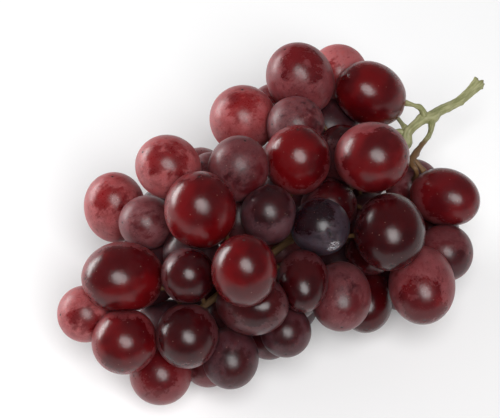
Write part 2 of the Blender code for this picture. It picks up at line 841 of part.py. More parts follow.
def flats_of(number, berries, linked, twigs):
    """The planes that a berry is pressed flat against: its neighbours, wood and the table."""
    berry = berries[number]
    flats = []
    for other_number, other in enumerate(berries):
        if other_number == number or other_number in linked:
            continue
        offset = other.middle - berry.middle
        apart = float(np.linalg.norm(offset))
        way = offset / apart
        deep = berry.reach(way) + other.reach(-way) - apart + GAP
        if deep > 0:
            flats.append((way, berry.reach(way) - deep / 2))
    for twig in twigs:
        for start, end, thick, thin in zip(twig.points, twig.points[1:], twig.radii, twig.radii[1:]):
            offset = nearest_on(berry.middle[None], start, end)[0] - berry.middle
            apart = float(np.linalg.norm(offset))
            room = apart - max(thick, thin) - GAP
            if room < berry.reach(offset / apart):
                flats.append((offset / apart, room))
    if berry.middle[2] < berry.reach(DOWN):
        flats.append((DOWN, berry.middle[2]))
    return flats


def ring_round(bm, middle, radius, axes, turns):
    """Points in a circle round a middle, at some angles between two axes."""
    side, other_side = axes
    return [
        bm.verts.new(in_part(middle + radius * (math.cos(turn) * side + math.sin(turn) * other_side)))
        for turn in turns
    ]


def berry_solid(name, berry, flats):
    """An egg-shaped grape, cut back to its flats. Each ring is turned half a step from the last."""
    bm = bmesh.new()
    side = unit(np.cross(berry.along, SEAM_SIDE))
    axes = (side, np.cross(berry.along, side))
    rings = []
    for ring in range(1, BERRY_RINGS):
        polar = math.pi * ring / BERRY_RINGS
        level = berry.middle + FACET_SWELL * berry.half_length * math.cos(polar) * berry.along
        spread = FACET_SWELL * berry.half_width * math.sin(polar)
        turns = [2 * math.pi * (step + ring % 2 / 2) / BERRY_SEGMENTS for step in range(BERRY_SEGMENTS)]
        rings.append(ring_round(bm, level, spread, axes, turns))
    poles = [
        bm.verts.new(in_part(berry.middle + sign * FACET_SWELL * berry.half_length * berry.along))
        for sign in (1, -1)
    ]
    for step in range(BERRY_SEGMENTS):
        following = (step + 1) % BERRY_SEGMENTS
        bm.faces.new((poles[0], rings[0][step], rings[0][following]))
        bm.faces.new((poles[1], rings[-1][following], rings[-1][step]))
    for number, (upper, lower) in enumerate(zip(rings, rings[1:])):
        for step in range(BERRY_SEGMENTS):
            following = (step + 1) % BERRY_SEGMENTS
            if number % 2 == 0:
                bm.faces.new((upper[step], lower[step], upper[following]))
                bm.faces.new((upper[following], lower[step], lower[following]))
            else:
                bm.faces.new((upper[step], lower[step], lower[following]))
                bm.faces.new((upper[step], lower[following], upper[following]))
    bmesh.ops.recalc_face_normals(bm, faces=bm.faces)
    for way, room in flats:
        bmesh.ops.bisect_plane(
            bm,
            geom=[*bm.verts, *bm.edges, *bm.faces],
            dist=CUT_SNAP * MM,
            plane_co=in_part(berry.middle + way * room),
            plane_no=Vector(way),
            clear_outer=True,
        )
        rim = [edge for edge in bm.edges if edge.is_boundary]
        if rim:
            bmesh.ops.holes_fill(bm, edges=rim)
    bmesh.ops.triangulate(bm, faces=bm.faces)
    return solid_object(bm, name)


def twig_solid(name, twig):
    """A closed tube along the twig's points."""
    ahead = [unit(after - before) for before, after in zip(twig.points, twig.points[1:])]
    ways = [ahead[0], *[unit(a + b) for a, b in zip(ahead, ahead[1:])], ahead[-1]]
    turns = [2 * math.pi * step / twig.sides for step in range(twig.sides)]
    side = np.array(Vector(ways[0]).orthogonal())
    bm = bmesh.new()
    rings = []
    for point, way, radius in zip(twig.points, ways, twig.radii):
        side = unit(side - (side @ way) * way)
        rings.append(ring_round(bm, point, radius, (side, np.cross(way, side)), turns))
    for ring, following in zip(rings, rings[1:]):
        for step in range(twig.sides):
            after = (step + 1) % twig.sides
            bm.faces.new((ring[step], ring[after], following[after], following[step]))
    bm.faces.new(rings[0][::-1])
    bm.faces.new(rings[-1])
    bmesh.ops.triangulate(bm, faces=bm.faces)
    return solid_object(bm, name)


def drop_pockets(mesh):
    """Removes the pockets that a union may seal in between two skins. Their faces look inward."""
    bm = bmesh.new()
    bm.from_mesh(mesh)
    unseen = set(bm.faces)
    while unseen:
        shell = [unseen.pop()]
        for face in shell:
            for edge in face.edges:
                for other in edge.link_faces:
                    if other in unseen:
                        unseen.remove(other)
                        shell.append(other)
        if sum(face.calc_center_median().dot(face.normal) * face.calc_area() for face in shell) < 0:
            bmesh.ops.delete(bm, geom=shell, context="FACES")
    bm.to_mesh(mesh)
    bm.free()


def fuse(name, solids, material, parent):
    """Joins solids that run into each other into one body, and removes the pieces it was made from."""
    body, *others = solids
    bpy.context.scene.collection.objects.link(body)
    if others:
        loose = bpy.data.collections.new(name + "_loose")
        bpy.context.scene.collection.children.link(loose)
        for other in others:
            loose.objects.link(other)
        join = body.modifiers.new("join", "BOOLEAN")
        join.operation = "UNION"
        join.operand_type = "COLLECTION"
        join.collection = loose
        bpy.context.view_layer.update()
        joined = bpy.data.meshes.new_from_object(body.evaluated_get(bpy.context.evaluated_depsgraph_get()))
        body.modifiers.clear()
        body.data = joined
        drop_pockets(joined)
        for other in others:
            bpy.data.objects.remove(other)
        bpy.data.collections.remove(loose)
    body.name = name
    body.data.name = name
    body.data.materials.clear()
    body.data.materials.append(material)
    body.data.shade_smooth()
    body.data.set_sharp_from_angle(angle=SHARP)
    body.parent = parent
    return body


def main():
    for leftover in list(bpy.data.objects):
        bpy.data.objects.remove(leftover)
    bunch = bpy.data.objects.new("bunch", None)
    bpy.context.scene.collection.objects.link(bunch)
    berries, twigs = plan()
    members, joins = share_out(berries)
    linked = {number: set() for number in range(len(berries))}
    for pairs in joins.values():
        for first, second in pairs:
            linked[first].add(second)
            linked[second].add(first)
    skin = paint("grape_skin", SKIN_COLOUR, SKIN_ROUGHNESS)
    bark = paint("green_stem", BARK_COLOUR, BARK_ROUGHNESS)
    for name, numbers in members.items():
        solids = []
        for number in numbers:
            flats = flats_of(number, berries, linked[number], twigs)
            solids.append(berry_solid(f"{name}_{number}", berries[number], flats))
        fuse(name, solids, skin, bunch)
    fuse("stem", [twig_solid(f"twig_{index}", twig) for index, twig in enumerate(twigs)], bark, bunch)


if __name__ == "__main__":
    main()
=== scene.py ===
"""A bunch of red table grapes on a pale table, dressed for a studio picture.

The berries and the wood follow the same layout as the solids. Each berry is a finely rounded body that is
pressed flat against its neighbours, with waxy bloom on its skin, and the stem is tapering wood with knots.
Lengths in the layout are millimetres, and the meshes are in metres, +Z up.
"""

from __future__ import annotations

import heapq
import logging
import math
from collections.abc import Sequence
from dataclasses import dataclass, field
from enum import Enum

import bmesh
import bpy
import numpy as np
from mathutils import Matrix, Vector
from mathutils.kdtree import KDTree

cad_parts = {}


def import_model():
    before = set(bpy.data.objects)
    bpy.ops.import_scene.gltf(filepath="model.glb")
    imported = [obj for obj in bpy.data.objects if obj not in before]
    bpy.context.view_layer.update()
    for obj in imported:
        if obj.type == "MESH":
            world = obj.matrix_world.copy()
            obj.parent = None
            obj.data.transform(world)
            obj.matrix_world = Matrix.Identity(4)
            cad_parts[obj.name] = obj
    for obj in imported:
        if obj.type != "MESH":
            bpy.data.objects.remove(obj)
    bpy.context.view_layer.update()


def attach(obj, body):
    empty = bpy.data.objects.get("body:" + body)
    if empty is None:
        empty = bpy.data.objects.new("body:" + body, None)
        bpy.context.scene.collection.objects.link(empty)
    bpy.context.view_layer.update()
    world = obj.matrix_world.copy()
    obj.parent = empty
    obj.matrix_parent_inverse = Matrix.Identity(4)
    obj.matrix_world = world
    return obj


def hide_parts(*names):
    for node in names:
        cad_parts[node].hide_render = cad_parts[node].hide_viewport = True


LOG = logging.getLogger("grapes")
MM = 0.001
DOWN = np.array([0.0, 0.0, -1.0])
BODY = "root"
TINY = 1e-6

Triple = tuple[float, float, float]
Colour = tuple[int, int, int]
Waves = tuple[tuple[int, float, int], ...]
Spots = tuple[tuple[float, ...], ...]


@dataclass
class KnownSide:
    """The side that the bunch is known from, looking down on it from the tip end.

    Its middle is the heart of the bunch, and floor_middle is the middle of the footprint.
    """

    azimuth: float = math.radians(-40)
    elevation: float = math.radians(55)
    distance: float = 470.0
    heart: Triple = (0.0, 0.0, 31.5)
    floor_middle: Triple = (9.8, -8.4, 0.0)
    across: np.ndarray = field(init=False)
    up: np.ndarray = field(init=False)
    toward: np.ndarray = field(init=False)

    def __post_init__(self) -> None:
        """Works out the directions across, up and toward the eye."""
        level = math.cos(self.elevation)
        self.toward = np.array(
            [math.sin(self.azimuth) * level, -math.cos(self.azimuth) * level, math.sin(self.elevation)]
        )
        self.across = np.array([math.cos(self.azimuth), math.sin(self.azimuth), 0.0])
        self.up = np.cross(self.toward, self.across)

    def seen_at(self, across: float, up: float, forward: float) -> np.ndarray:
        """Finds the place that is seen at a spot. Nearer things look larger.

        Args:
            across: How far right of the heart it is seen.
            up: How far above the heart it is seen.
            forward: How far forward of the heart it lies.

        Returns:
            The place in the layout.
        """
        nearness = 1 - forward / self.distance
        return self.heart + across * nearness * self.across + up * nearness * self.up + forward * self.toward

    def look_of(self, point: np.ndarray) -> tuple[np.ndarray, float]:
        """Finds where a place is seen.

        Args:
            point: A place in the layout.

        Returns:
            The spot across and up from the heart, and how much smaller than it looks a thing there is.
        """
        offset = point - np.array(self.heart)
        nearness = 1 - float(offset @ self.toward) / self.distance
        return np.array([offset @ self.across, offset @ self.up]) / nearness, nearness

    def facing(self, turned: tuple[float, float]) -> np.ndarray:
        """Gives the way to the eye, turned across and up from it."""
        return unit(self.toward + turned[0] * self.across + turned[1] * self.up)

    def placed(self, points: np.ndarray) -> np.ndarray:
        """Gives places of the layout in the part's own frame, in metres."""
        return (points - np.array(self.floor_middle)) * MM


SIDE = KnownSide()


class SkinTone(Enum):
    """The colours that the berries of one bunch ripen to."""

    RUBY = "ruby_skin"
    GARNET = "garnet_skin"
    CRIMSON = "crimson_skin"
    ROSE = "rose_skin"
    MAUVE = "mauve_skin"
    PLUM = "plum_skin"
    SLATE = "slate_skin"


@dataclass(frozen=True)
class BerryLook:
    """How one berry's skin looks.

    Bloom is how thick its wax lies. Rubbed is the cosine that bounds the patch where the wax is rubbed off,
    round the spot that stands proud, which is turned across and up from the eye by turned. Full is how much
    fuller it has grown than its egg. Slit and crumbs are turned as turned is: where its blossom scar has
    split, and where white crumbs of wax cling.
    """

    tone: SkinTone
    bloom: float = 0.4
    rubbed: float = 0.5
    turned: tuple[float, float] | None = (0.0, 0.0)
    full: float = 1.0
    slit: tuple[float, float] | None = None
    crumbs: tuple[float, float] | None = None


# Each berry in sight, as seen from the known side: across and up from the heart, width, length, and the
# lean of its length from level, in degrees.
IN_SIGHT: dict[str, tuple[float, float, float, float, float]] = {
    "back_1": (10, 47.5, 22.4, 25, -60),
    "back_2": (22.5, 49.5, 19.8, 19.8, 0),
    "stalk_side": (33.5, 43, 20.5, 23.8, -25),
    "back_3": (-9, 34.5, 22.4, 23, 90),
    "back_4": (1.5, 37.5, 17.8, 17.8, 0),
    "crown_1": (8.5, 32.5, 19.8, 19.8, 0),
    "crown_2": (9, 21, 22.4, 23.8, 90),
    "crown_3": (33.5, 22, 23.8, 25.4, 0),
    "wing_1": (48, 12.5, 17.8, 17.8, 0),
    "wing_2": (58.5, 9, 19.8, 23.8, -20),
    "wing_3": (57.5, -9.5, 19.5, 19.5, 0),
    "wing_4": (54, -2.5, 17.5, 17.5, 0),
    "near_1": (50, -20, 22.4, 26.4, 90),
    "near_2": (39.5, -2.5, 24.1, 26.4, 90),
    "near_3": (31.5, -25, 18.5, 22, 90),
    "near_4": (33, -9, 16.5, 16.5, 0),
    "near_5": (23.5, -24, 20.8, 23.8, 90),
    "middle_1": (16.5, -1, 19.5, 20.1, 0),
    "middle_2": (-0.5, 3, 19.1, 20.5, 90),
    "middle_3": (-10.5, 18, 20.5, 22.5, 75),
    "far_1": (-19, 16, 15.5, 15.5, 0),
    "far_2": (-33, 18.5, 21.1, 22.4, -30),
    "far_3": (-51.5, 5.5, 20.8, 23.8, 90),
    "far_4": (-41, 0.5, 18.5, 19.5, 0),
    "middle_4": (-23, 4.5, 24.4, 26.4, 90),
    "tip_1": (-49, -18, 23.4, 26.4, 0),
    "tip_2": (-27, -17, 18.5, 19.1, 90),
    "front_1": (-8.5, -15.5, 22.1, 24.6, 90),
    "front_2": (11, -19, 17.8, 22.1, 90),
    "tip_3": (-60.5, -29.5, 19.1, 19.1, 0),
    "tip_4": (-48, -38.5, 21.1, 21.5, 90),
    "tip_5": (-27.5, -37, 21.3, 22.3, 90),
    "front_3": (-5.8, -26.5, 21, 24.8, 0),
    "front_4": (5.2, -35.3, 17.2, 17.8, 90),
    "front_5": (-0.5, -37, 16, 16, 0),
    "front_6": (-13, -44, 19.1, 21.1, 90),
    "tip_6": (-20.5, -45.5, 17.2, 17.2, 0),
    "tip_7": (-36, -49.5, 21, 21, 0),
}

# Which berries each one hides a part of
HIDES: dict[str, str] = {
    "front_1": "middle_4 tip_2 front_3 front_2",
    "middle_4": "far_2 far_4 middle_3 tip_2 far_1",
    "tip_1": "far_3 far_4 tip_3 tip_4",
    "tip_2": "tip_5 tip_1",
    "tip_5": "tip_4 front_6 tip_7 tip_6",
    "tip_4": "tip_3 tip_7",
    "front_3": "front_6 front_4 front_5",
    "front_2": "near_5 front_3 front_4",
    "middle_2": "middle_3 middle_1",
    "middle_1": "near_5",
    "near_2": "near_5 near_1 wing_3 wing_2 near_4 wing_4",
    "near_5": "near_3 near_4",
    "near_1": "near_3 wing_3 near_4",
    "wing_2": "wing_3 wing_1 wing_4",
    "crown_3": "near_2 stalk_side wing_1",
    "stalk_side": "back_2 back_1",
    "crown_2": "crown_1",
    "crown_1": "back_1 back_3 back_4",
    "back_1": "back_2 back_4",
    "back_3": "back_4",
    "middle_3": "back_3 far_2 far_1",
    "far_2": "far_3 far_1",
    "far_4": "far_3 far_2",
    "front_6": "tip_6 front_5",
    "front_4": "front_5",
    "wing_3": "wing_4",
}

# The berries round the edge, in order. Nothing shows outside them.
EDGE = (
    "far_3 far_2 back_3 back_1 back_2 stalk_side crown_3 wing_1 wing_2 wing_3 near_1 near_3 near_5 "
    "front_4 front_6 tip_7 tip_4 tip_3"
)

# How each of them looks
LOOKS: dict[str, BerryLook] = {
    "back_1": BerryLook(SkinTone.CRIMSON, 0.8, 0.86, (0.1, 0.35)),
    # back_2's bloom above full is painted light: it paints the berry lighter against the shade that its
    # neighbours throw on it
    "back_2": BerryLook(SkinTone.ROSE, 1.6, 0.95),
    "stalk_side": BerryLook(SkinTone.RUBY, 0.4, 0.35, (0.05, -0.2), full=1.05),
    "back_3": BerryLook(SkinTone.ROSE, 0.75, 0.9, (0.0, 0.35)),
    "back_4": BerryLook(SkinTone.CRIMSON, 0.6, 0.9),
    "crown_1": BerryLook(SkinTone.MAUVE, 0.8, 0.9, (0.5, 0.2)),
    "crown_2": BerryLook(SkinTone.RUBY, 0.45, 0.5, (0.15, 0.1)),
    "crown_3": BerryLook(SkinTone.RUBY, 0.7, 0.45, (0.15, -0.25)),
    "wing_1": BerryLook(SkinTone.MAUVE, 0.9, 0.9, full=1.07),
    "wing_2": BerryLook(SkinTone.CRIMSON, 0.45, 0.45, (0.1, 0.1)),
    "wing_3": BerryLook(SkinTone.MAUVE, 0.45, 0.75, (0.2, -0.3)),
    "wing_4": BerryLook(SkinTone.GARNET, 0.15, 0.5),
    "near_1": BerryLook(SkinTone.CRIMSON, 0.85, 0.75, (-0.1, -0.75)),
    "near_2": BerryLook(SkinTone.GARNET, 0.3, 0.35, (0.1, 0.0)),
    "near_3": BerryLook(SkinTone.GARNET, 0.1, 0.6),
    "near_4": BerryLook(SkinTone.GARNET, 0.35, 0.6),
    "near_5": BerryLook(SkinTone.MAUVE, 0.65, 0.9, (0.4, -0.25)),
    "middle_1": BerryLook(
        SkinTone.SLATE, 0.75, 0.68, (-0.35, 0.4), slit=(0.36, -0.26), crumbs=(0.72, -1.05)
    ),
    "middle_2": BerryLook(SkinTone.PLUM, 0.85, 0.72, (0.15, 0.4)),
    "middle_3": BerryLook(SkinTone.MAUVE, 0.6, 0.9, (0.4, -0.4)),
    "far_1": BerryLook(SkinTone.MAUVE, 0.8, 0.9),
    "far_2": BerryLook(SkinTone.ROSE, 0.8, 0.84, (0.05, 0.3)),
    "far_3": BerryLook(SkinTone.ROSE, 0.8, 0.92, (-0.1, 0.2)),
    "far_4": BerryLook(SkinTone.MAUVE, 0.95, 0.94, (0.1, 0.05)),
    "middle_4": BerryLook(SkinTone.RUBY, 0.45, 0.3, (0.2, -0.2)),
    "tip_1": BerryLook(SkinTone.RUBY, 0.5, 0.42, (0.2, -0.05), full=1.06),
    "tip_2": BerryLook(SkinTone.GARNET, 0.6, 0.4, (0.35, -0.1)),
    "front_1": BerryLook(SkinTone.RUBY, 0.15, 0.12, (0.1, -0.1)),
    "front_2": BerryLook(SkinTone.GARNET, 0.5, 0.55, (0.05, 0.0)),
    "tip_3": BerryLook(SkinTone.ROSE, 0.85, 0.92, (0.2, -0.1)),
    "tip_4": BerryLook(SkinTone.RUBY, 0.55, 0.5, (0.15, -0.1), full=1.05),
    "tip_5": BerryLook(SkinTone.GARNET, 0.65, 0.5, (0.05, 0.0)),
    "front_3": BerryLook(SkinTone.GARNET, 0.55, 0.72),
    "front_4": BerryLook(SkinTone.PLUM, 0.6, 0.85),
    "front_5": BerryLook(SkinTone.PLUM, 0.6, 0.8),
    "front_6": BerryLook(SkinTone.PLUM, 0.65, 0.82, (0.25, -0.3)),
    "tip_6": BerryLook(SkinTone.MAUVE, 0.7, 0.9),
    "tip_7": BerryLook(SkinTone.CRIMSON, 0.5, 0.8, (-0.1, 0.2)),
}

STALK_RADIUS = 1.45
BERRY_STALK_RADIUS = 0.65

# The stalk and the branches in sight, from the cut end on: across, up, toward the eye, and the radius
STALK_IN_SIGHT: Spots = (
    (69.3, 46.9, -33, 2.1),
    (65.3, 43.0, -29.5, 1.6),
    (61.4, 39.9, -26, STALK_RADIUS),
    (55.4, 37.0, -22, 1.6),
    (53.3, 35.2, -20, 2.1),
    (50.5, 34.6, -19.5, 1.6),
    (46.5, 31.4, -18, STALK_RADIUS),
    (45.2, 29.4, -17.5, 1.6),
    (45.2, 26.4, -17, STALK_RADIUS),
)
WING: Spots = (
    (53.3, 35.2, -20, 0.7),
    (53.4, 32.4, -18, 1.0),
    (52.5, 29.4, -14, 0.85),
    (49.8, 25.7, -8, 0.85),
    (48.0, 23.2, -4, 1.2),
    (46.6, 20.2, 0.2, 1.15),
    (48.2, 17.8, 2.2, 0.75),
)
UPPER_TWIG: Spots = (
    (50.5, 34.6, -19.5, 0.6),
    (50.7, 36.4, -18.5, 0.9),
    (49.5, 38.4, -17, 1.1),
    (47.5, 39.2, -15.5, BERRY_STALK_RADIUS),
)
BACK_TWIG: Spots = (
    (45.8, 30.4, -17.8, 0.6),
    (44.4, 32.0, -18.5, 0.8),
    (42.6, 34.3, -22, 0.7),
    (41.0, 36.5, -26, BERRY_STALK_RADIUS),
)
SIDE_TWIG: Spots = (
    (45.2, 29.4, -17.5, 0.6),
    (42.6, 30.4, -18, 0.9),
    (39.5, 30.0, -19, BERRY_STALK_RADIUS),
)
AXIS_IN_CORE: Spots = (
    (42, -5, 31),
    (30, -5, 30),
    (17, -6.5, 30),
    (5, -8, 30),
    (-8, -9, 30.5),
    (-20, -10, 31),
    (-33, -10.5, 31),
    (-45, -11, 31),
)

# The middle of each spray
SPRAYS: dict[str, Triple] = {
    "berries_tip": (-62, -5, 32),
    "berries_tip_under": (-42, -8, 14),
    "berries_far_tip": (-37, 22, 40),
    "berries_far": (-10, 27, 34),
    "berries_crest": (-20, -2, 55),
    "berries_front": (-20, -28, 42),
    "berries_near": (8, -38, 34),
    "berries_back": (38, 25, 40),
    "berries_crown": (15, 0, 58),
    "berries_wing": (42, -32, 36),
    "berries_under": (12, 5, 12),
}


def unit(vector: np.ndarray) -> np.ndarray:
    """Gives a vector the length of one."""
    return vector / np.linalg.norm(vector)


@dataclass
class Berry:
    """One grape: its middle, half its width and length, and which way its length points."""

    middle: np.ndarray
    half_width: float
    half_length: float
    along: np.ndarray
    look: BerryLook | None = None
    stalk_way: np.ndarray | None = None

    @property
    def radius(self) -> float:
        """Half the mean of its sizes."""
        return (2 * self.half_width + self.half_length) / 3

    def reach(self, way: np.ndarray) -> float:
        """Finds how far the skin reaches from the middle, as a plane square to the way would.

        Args:
            way: A direction, of length one.

        Returns:
            The distance in millimetres.
        """
        share = float(self.along @ way)
        return math.hypot(self.half_length * share, self.half_width * math.sqrt(max(0.0, 1 - share**2)))


@dataclass
class Twig:
    """A run of wood: its points and its radius at each.

    It also says whether it is the stalk, whether it ends at a berry and whether it is in view.
    """

    points: list[np.ndarray]
    radii: list[float]
    is_stalk: bool = False
    ends_at_berry: bool = False
    in_view: bool = False

    @classmethod
    def in_sight(cls, spots: Spots, is_stalk: bool = False) -> Twig:
        """Makes the twig that is seen to run through some spots, each with its radius."""
        points = [SIDE.seen_at(*spot[:3]) for spot in spots]
        return cls(points, [spot[3] for spot in spots], is_stalk, in_view=True)


def pressed(first: Berry, second: Berry) -> float:
    """Finds how deep two berries press into each other.

    Args:
        first: One berry.
        second: The other.

    Returns:
        The depth in millimetres, below nothing where they are apart.
    """
    way = second.middle - first.middle
    apart = float(np.linalg.norm(way))
    return first.reach(way / apart) + second.reach(-way / apart) - apart


def nearest_on(points: np.ndarray, start: np.ndarray, end: np.ndarray) -> np.ndarray:
    """Finds the nearest place to each point on a straight run.

    Args:
        points: The points, one a row.
        start: Where the run starts.
        end: Where it ends.

    Returns:
        The places, one a row.
    """
    run = end - start
    share = np.clip((points - start) @ run / (run @ run), 0, 1)
    return start + share[..., None] * run


def nearest_on_twigs(points: np.ndarray, twigs: Sequence[Twig]) -> np.ndarray:
    """Finds the nearest place to each point on any of the twigs.

    Args:
        points: The points, one a row.
        twigs: The twigs.

    Returns:
        The places, one a row.
    """
    found = np.zeros_like(points)
    least = np.full(points.shape[:-1], np.inf)
    for twig in twigs:
        for start, end in zip(twig.points, twig.points[1:]):
            place = nearest_on(points, start, end)
            apart = np.linalg.norm(points - place, axis=-1)
            nearer = apart < least
            found = np.where(nearer[..., None], place, found)
            least = np.where(nearer, apart, least)
    return found


def shown_circles() -> tuple[np.ndarray, np.ndarray]:
    """Gives the spots where the berries in sight are seen, and half their mean size there."""
    rows = np.array(list(IN_SIGHT.values()), float)
    return rows[:, :2], rows[:, 2:4].mean(axis=1) / 2


@dataclass
class ShownBerries:
    """The berries in sight, moved forward and back until they only press on each other."""

    press: float = 1.5
    lean_toward: float = math.radians(35)
    shell_half: Triple = (60.0, 40.0, 25.0)
    turns: int = 600
    share: float = 0.25
    pull: float = 0.02
    lift: float = 0.5
    above_table: float = 0.97

    def shell_depth(self, across: float, up: float) -> float:
        """Finds how far forward the shell of outer berries lies behind a spot, or its nearest edge.

        Args:
            across: How far right of the heart the spot is.
            up: How far above the heart it is.

        Returns:
            How far forward of the heart the shell lies there.
        """
        half = np.array(self.shell_half)
        start = (SIDE.seen_at(across, up, 0.0) - np.array(SIDE.heart)) / half
        step = (SIDE.seen_at(across, up, 1.0) - SIDE.seen_at(across, up, 0.0)) / half
        squared = step @ step
        half_linear = start @ step
        inside = half_linear**2 - squared * (start @ start - 1)
        return (-half_linear + math.sqrt(max(0.0, inside))) / squared

    def settle(self) -> dict[str, float]:
        """Settles how far forward each berry in sight lies, in the order that they hide each other.

        Returns:
            The depths by name.
        """
        names = list(IN_SIGHT)
        place, size = shown_circles()
        before = np.zeros((len(names), len(names)))
        for front, hidden in HIDES.items():
            for name in hidden.split():
                before[names.index(front), names.index(name)] = 1
                before[names.index(name), names.index(front)] = -1
        shell = np.array([self.shell_depth(*spot) for spot in place])
        forward = shell.copy()
        for _ in range(self.turns):
            middles = np.array([SIDE.seen_at(*spot, depth) for spot, depth in zip(place, forward)])
            radii = size * (1 - forward / SIDE.distance)
            ahead = forward[:, None] - forward[None, :]
            aside = np.sum((middles[:, None] - middles[None, :]) ** 2, axis=2) - ahead**2
            needed = np.sqrt(np.maximum(0.0, (radii[:, None] + radii[None, :] - self.press) ** 2 - aside))
            sign = np.where(before != 0, before, np.where(ahead >= 0, 1, -1))
            short = np.maximum(0.0, needed - ahead * sign)
            np.fill_diagonal(short, 0.0)
            forward += self.share * np.sum(short * sign, axis=1) + self.pull * (shell - forward)
            sunk = radii * self.above_table - middles[:, 2]
            forward += np.maximum(0.0, sunk) * self.lift / SIDE.toward[2]
        return dict(zip(names, forward))

    def grow(self, stalk: Twig) -> dict[str, Berry]:
        """Makes the berries of the table, each with its stem end turned to the core.

        Args:
            stalk: The stalk, with the axis through the core.

        Returns:
            The berries by name.
        """
        berries = {}
        for name, forward in self.settle().items():
            across, up, width, length, lean = IN_SIGHT[name]
            middle = SIDE.seen_at(across, up, forward)
            nearness = 1 - forward / SIDE.distance
            outward = middle - nearest_on_twigs(middle[None], [stalk])[0]
            leaning = math.cos(math.radians(lean)) * SIDE.across + math.sin(math.radians(lean)) * SIDE.up
            leaning *= 1 if leaning @ outward >= 0 else -1
            along = math.cos(self.lean_toward) * leaning + math.sin(self.lean_toward) * SIDE.toward
            half_width = width / 2 * nearness
            seen_square = (length / 2 * nearness) ** 2 - (half_width * math.sin(self.lean_toward)) ** 2
            half_length = math.sqrt(seen_square) / math.cos(self.lean_toward)
            berries[name] = Berry(middle, half_width, half_length, along, LOOKS[name])
        return berries


@dataclass
class HiddenBerries:
    """The berries on the table under the bunch, and those of its inside and its far side.

    They fill a rounded block, each where it presses best on those already there: the places and sizes to
    choose from are drawn by chance, and the best one left is taken each time.
    """

    seed: int = 48
    middle: Triple = (-4.0, -7.0, 31.5)
    half: Triple = (66.0, 46.0, 26.0)
    squareness: float = 2.6
    press: float = 1.5
    touches: int = 3
    size_worth: float = 1.2
    least: float = 9.3
    rim_points: int = 16
    rim_share: float = 0.93
    hide_most: float = 3.0
    stalk_room: float = 2.6
    table_press: float = 0.8
    table_tries: int = 12000
    table_from: Triple = (-64, -48, 0)
    table_to: Triple = (58, 40, 0)
    table_radii: tuple[float, float] = (10.0, 12.0)
    table_berries: int = 9
    tries: int = 24000
    lowest: Triple = (-72, -55, 9)
    highest: Triple = (66, 45, 58)
    radii: tuple[float, float] = (9.8, 12.2)
    most: int = 60
    above_table: float = 0.97
    width_share: float = 0.985
    length_share: float = 1.03

    def within(self, places: np.ndarray, margin: float = 0.0) -> np.ndarray:
        """Tells which places lie in the rounded block, a margin inside its faces."""
        half = np.array(self.half) - margin
        return (np.abs((places - np.array(self.middle)) / half) ** self.squareness).sum(axis=1) < 1

    def inside_edge(self, spots: np.ndarray) -> np.ndarray:
        """Tells which spots lie inside the line through the berries round the edge.

        Args:
            spots: The spots, across and up from the heart, one a row.

        Returns:
            Whether each one does.
        """
        corners = np.array([IN_SIGHT[name][:2] for name in EDGE.split()], float)
        ends = np.roll(corners, -1, axis=0)
        runs = ends - corners
        x, y = spots[:, :1], spots[:, 1:]
        straddles = (corners[:, 1] > y) != (ends[:, 1] > y)
        crossing = corners[:, 0] + runs[:, 0] * (y - corners[:, 1]) / runs[:, 1]
        return np.sum(straddles & (x < crossing), axis=1) % 2 == 1

    def out_of_sight(self, middle: np.ndarray, radius: float, in_front: np.ndarray) -> bool:
        """Tells whether a berry there would lie behind those in sight, and show only in their gaps.

        Args:
            middle: Its middle.
            radius: Its radius.
            in_front: The middles of the berries in sight.

        Returns:
            Whether it would.
        """
        spot, nearness = SIDE.look_of(middle)
        turns = np.linspace(0, 2 * math.pi, self.rim_points, endpoint=False)
        circle = np.stack([np.cos(turns), np.sin(turns)], axis=1)
        rim = spot + self.rim_share * radius / nearness * circle
        shown, shown_radii = shown_circles()
        overlap = shown_radii + radius / nearness - np.linalg.norm(shown - spot, axis=1)
        if ((overlap > self.hide_most) & ((in_front - middle) @ SIDE.toward < 0)).any():
            return False
        covered = (np.linalg.norm(rim[:, None] - shown, axis=2) < shown_radii).any(axis=1)
        return bool((covered | self.inside_edge(rim)).all())

    def fill(
        self, middles: list[np.ndarray], radii: list[float], places: np.ndarray, room: np.ndarray, most: int
    ) -> None:
        """Adds berries one by one, each where it presses best on others, until no place is left.

        Args:
            middles: The middles of the berries so far, added to.
            radii: Their radii, added to.
            places: The places that a berry may take.
            room: The largest radius at each place.
            most: How many berries may be added.
        """
        gaps = np.linalg.norm(places[:, None] - np.array(middles), axis=2) - np.array(radii)
        room = room.copy()
        for _ in range(most):
            size = np.minimum(gaps.min(axis=1) + self.press, room)
            nearest = np.sort(gaps, axis=1)[:, : self.touches]
            looseness = np.maximum(nearest - size[:, None], -self.press).sum(axis=1)
            score = np.where(size >= self.least, looseness - self.size_worth * size, np.inf)
            for choice in np.argsort(score):
                if not np.isfinite(score[choice]):
                    return
                if self.out_of_sight(places[choice], size[choice], np.array(middles[: len(IN_SIGHT)])):
                    break
                room[choice] = 0
            middles.append(places[choice])
            radii.append(float(size[choice]))
            added = np.linalg.norm(places - places[choice], axis=1) - size[choice]
            gaps = np.concatenate([gaps, added[:, None]], axis=1)

    def grow(self, shown: Sequence[Berry], twigs: Sequence[Twig]) -> list[Berry]:
        """Places the berries that are out of sight.

        Args:
            shown: The berries in sight.
            twigs: The stalk and the branches in sight.

        Returns:
            The new berries.
        """
        draw = np.random.default_rng(self.seed)
        middles = [berry.middle for berry in shown]
        radii = [berry.radius for berry in shown]

        def clear_of_stalk(places: np.ndarray) -> np.ndarray:
            """Finds the room that the wood leaves at each place."""
            return np.linalg.norm(places - nearest_on_twigs(places, twigs), axis=1) - self.stalk_room

        lying = draw.uniform(self.table_from, self.table_to, (self.table_tries, 3))
        sizes = draw.uniform(*self.table_radii, len(lying))
        lying[:, 2] = sizes - self.table_press
        kept = self.within(lying)
        lying = lying[kept]
        self.fill(middles, radii, lying, np.minimum(sizes[kept], clear_of_stalk(lying)), self.table_berries)

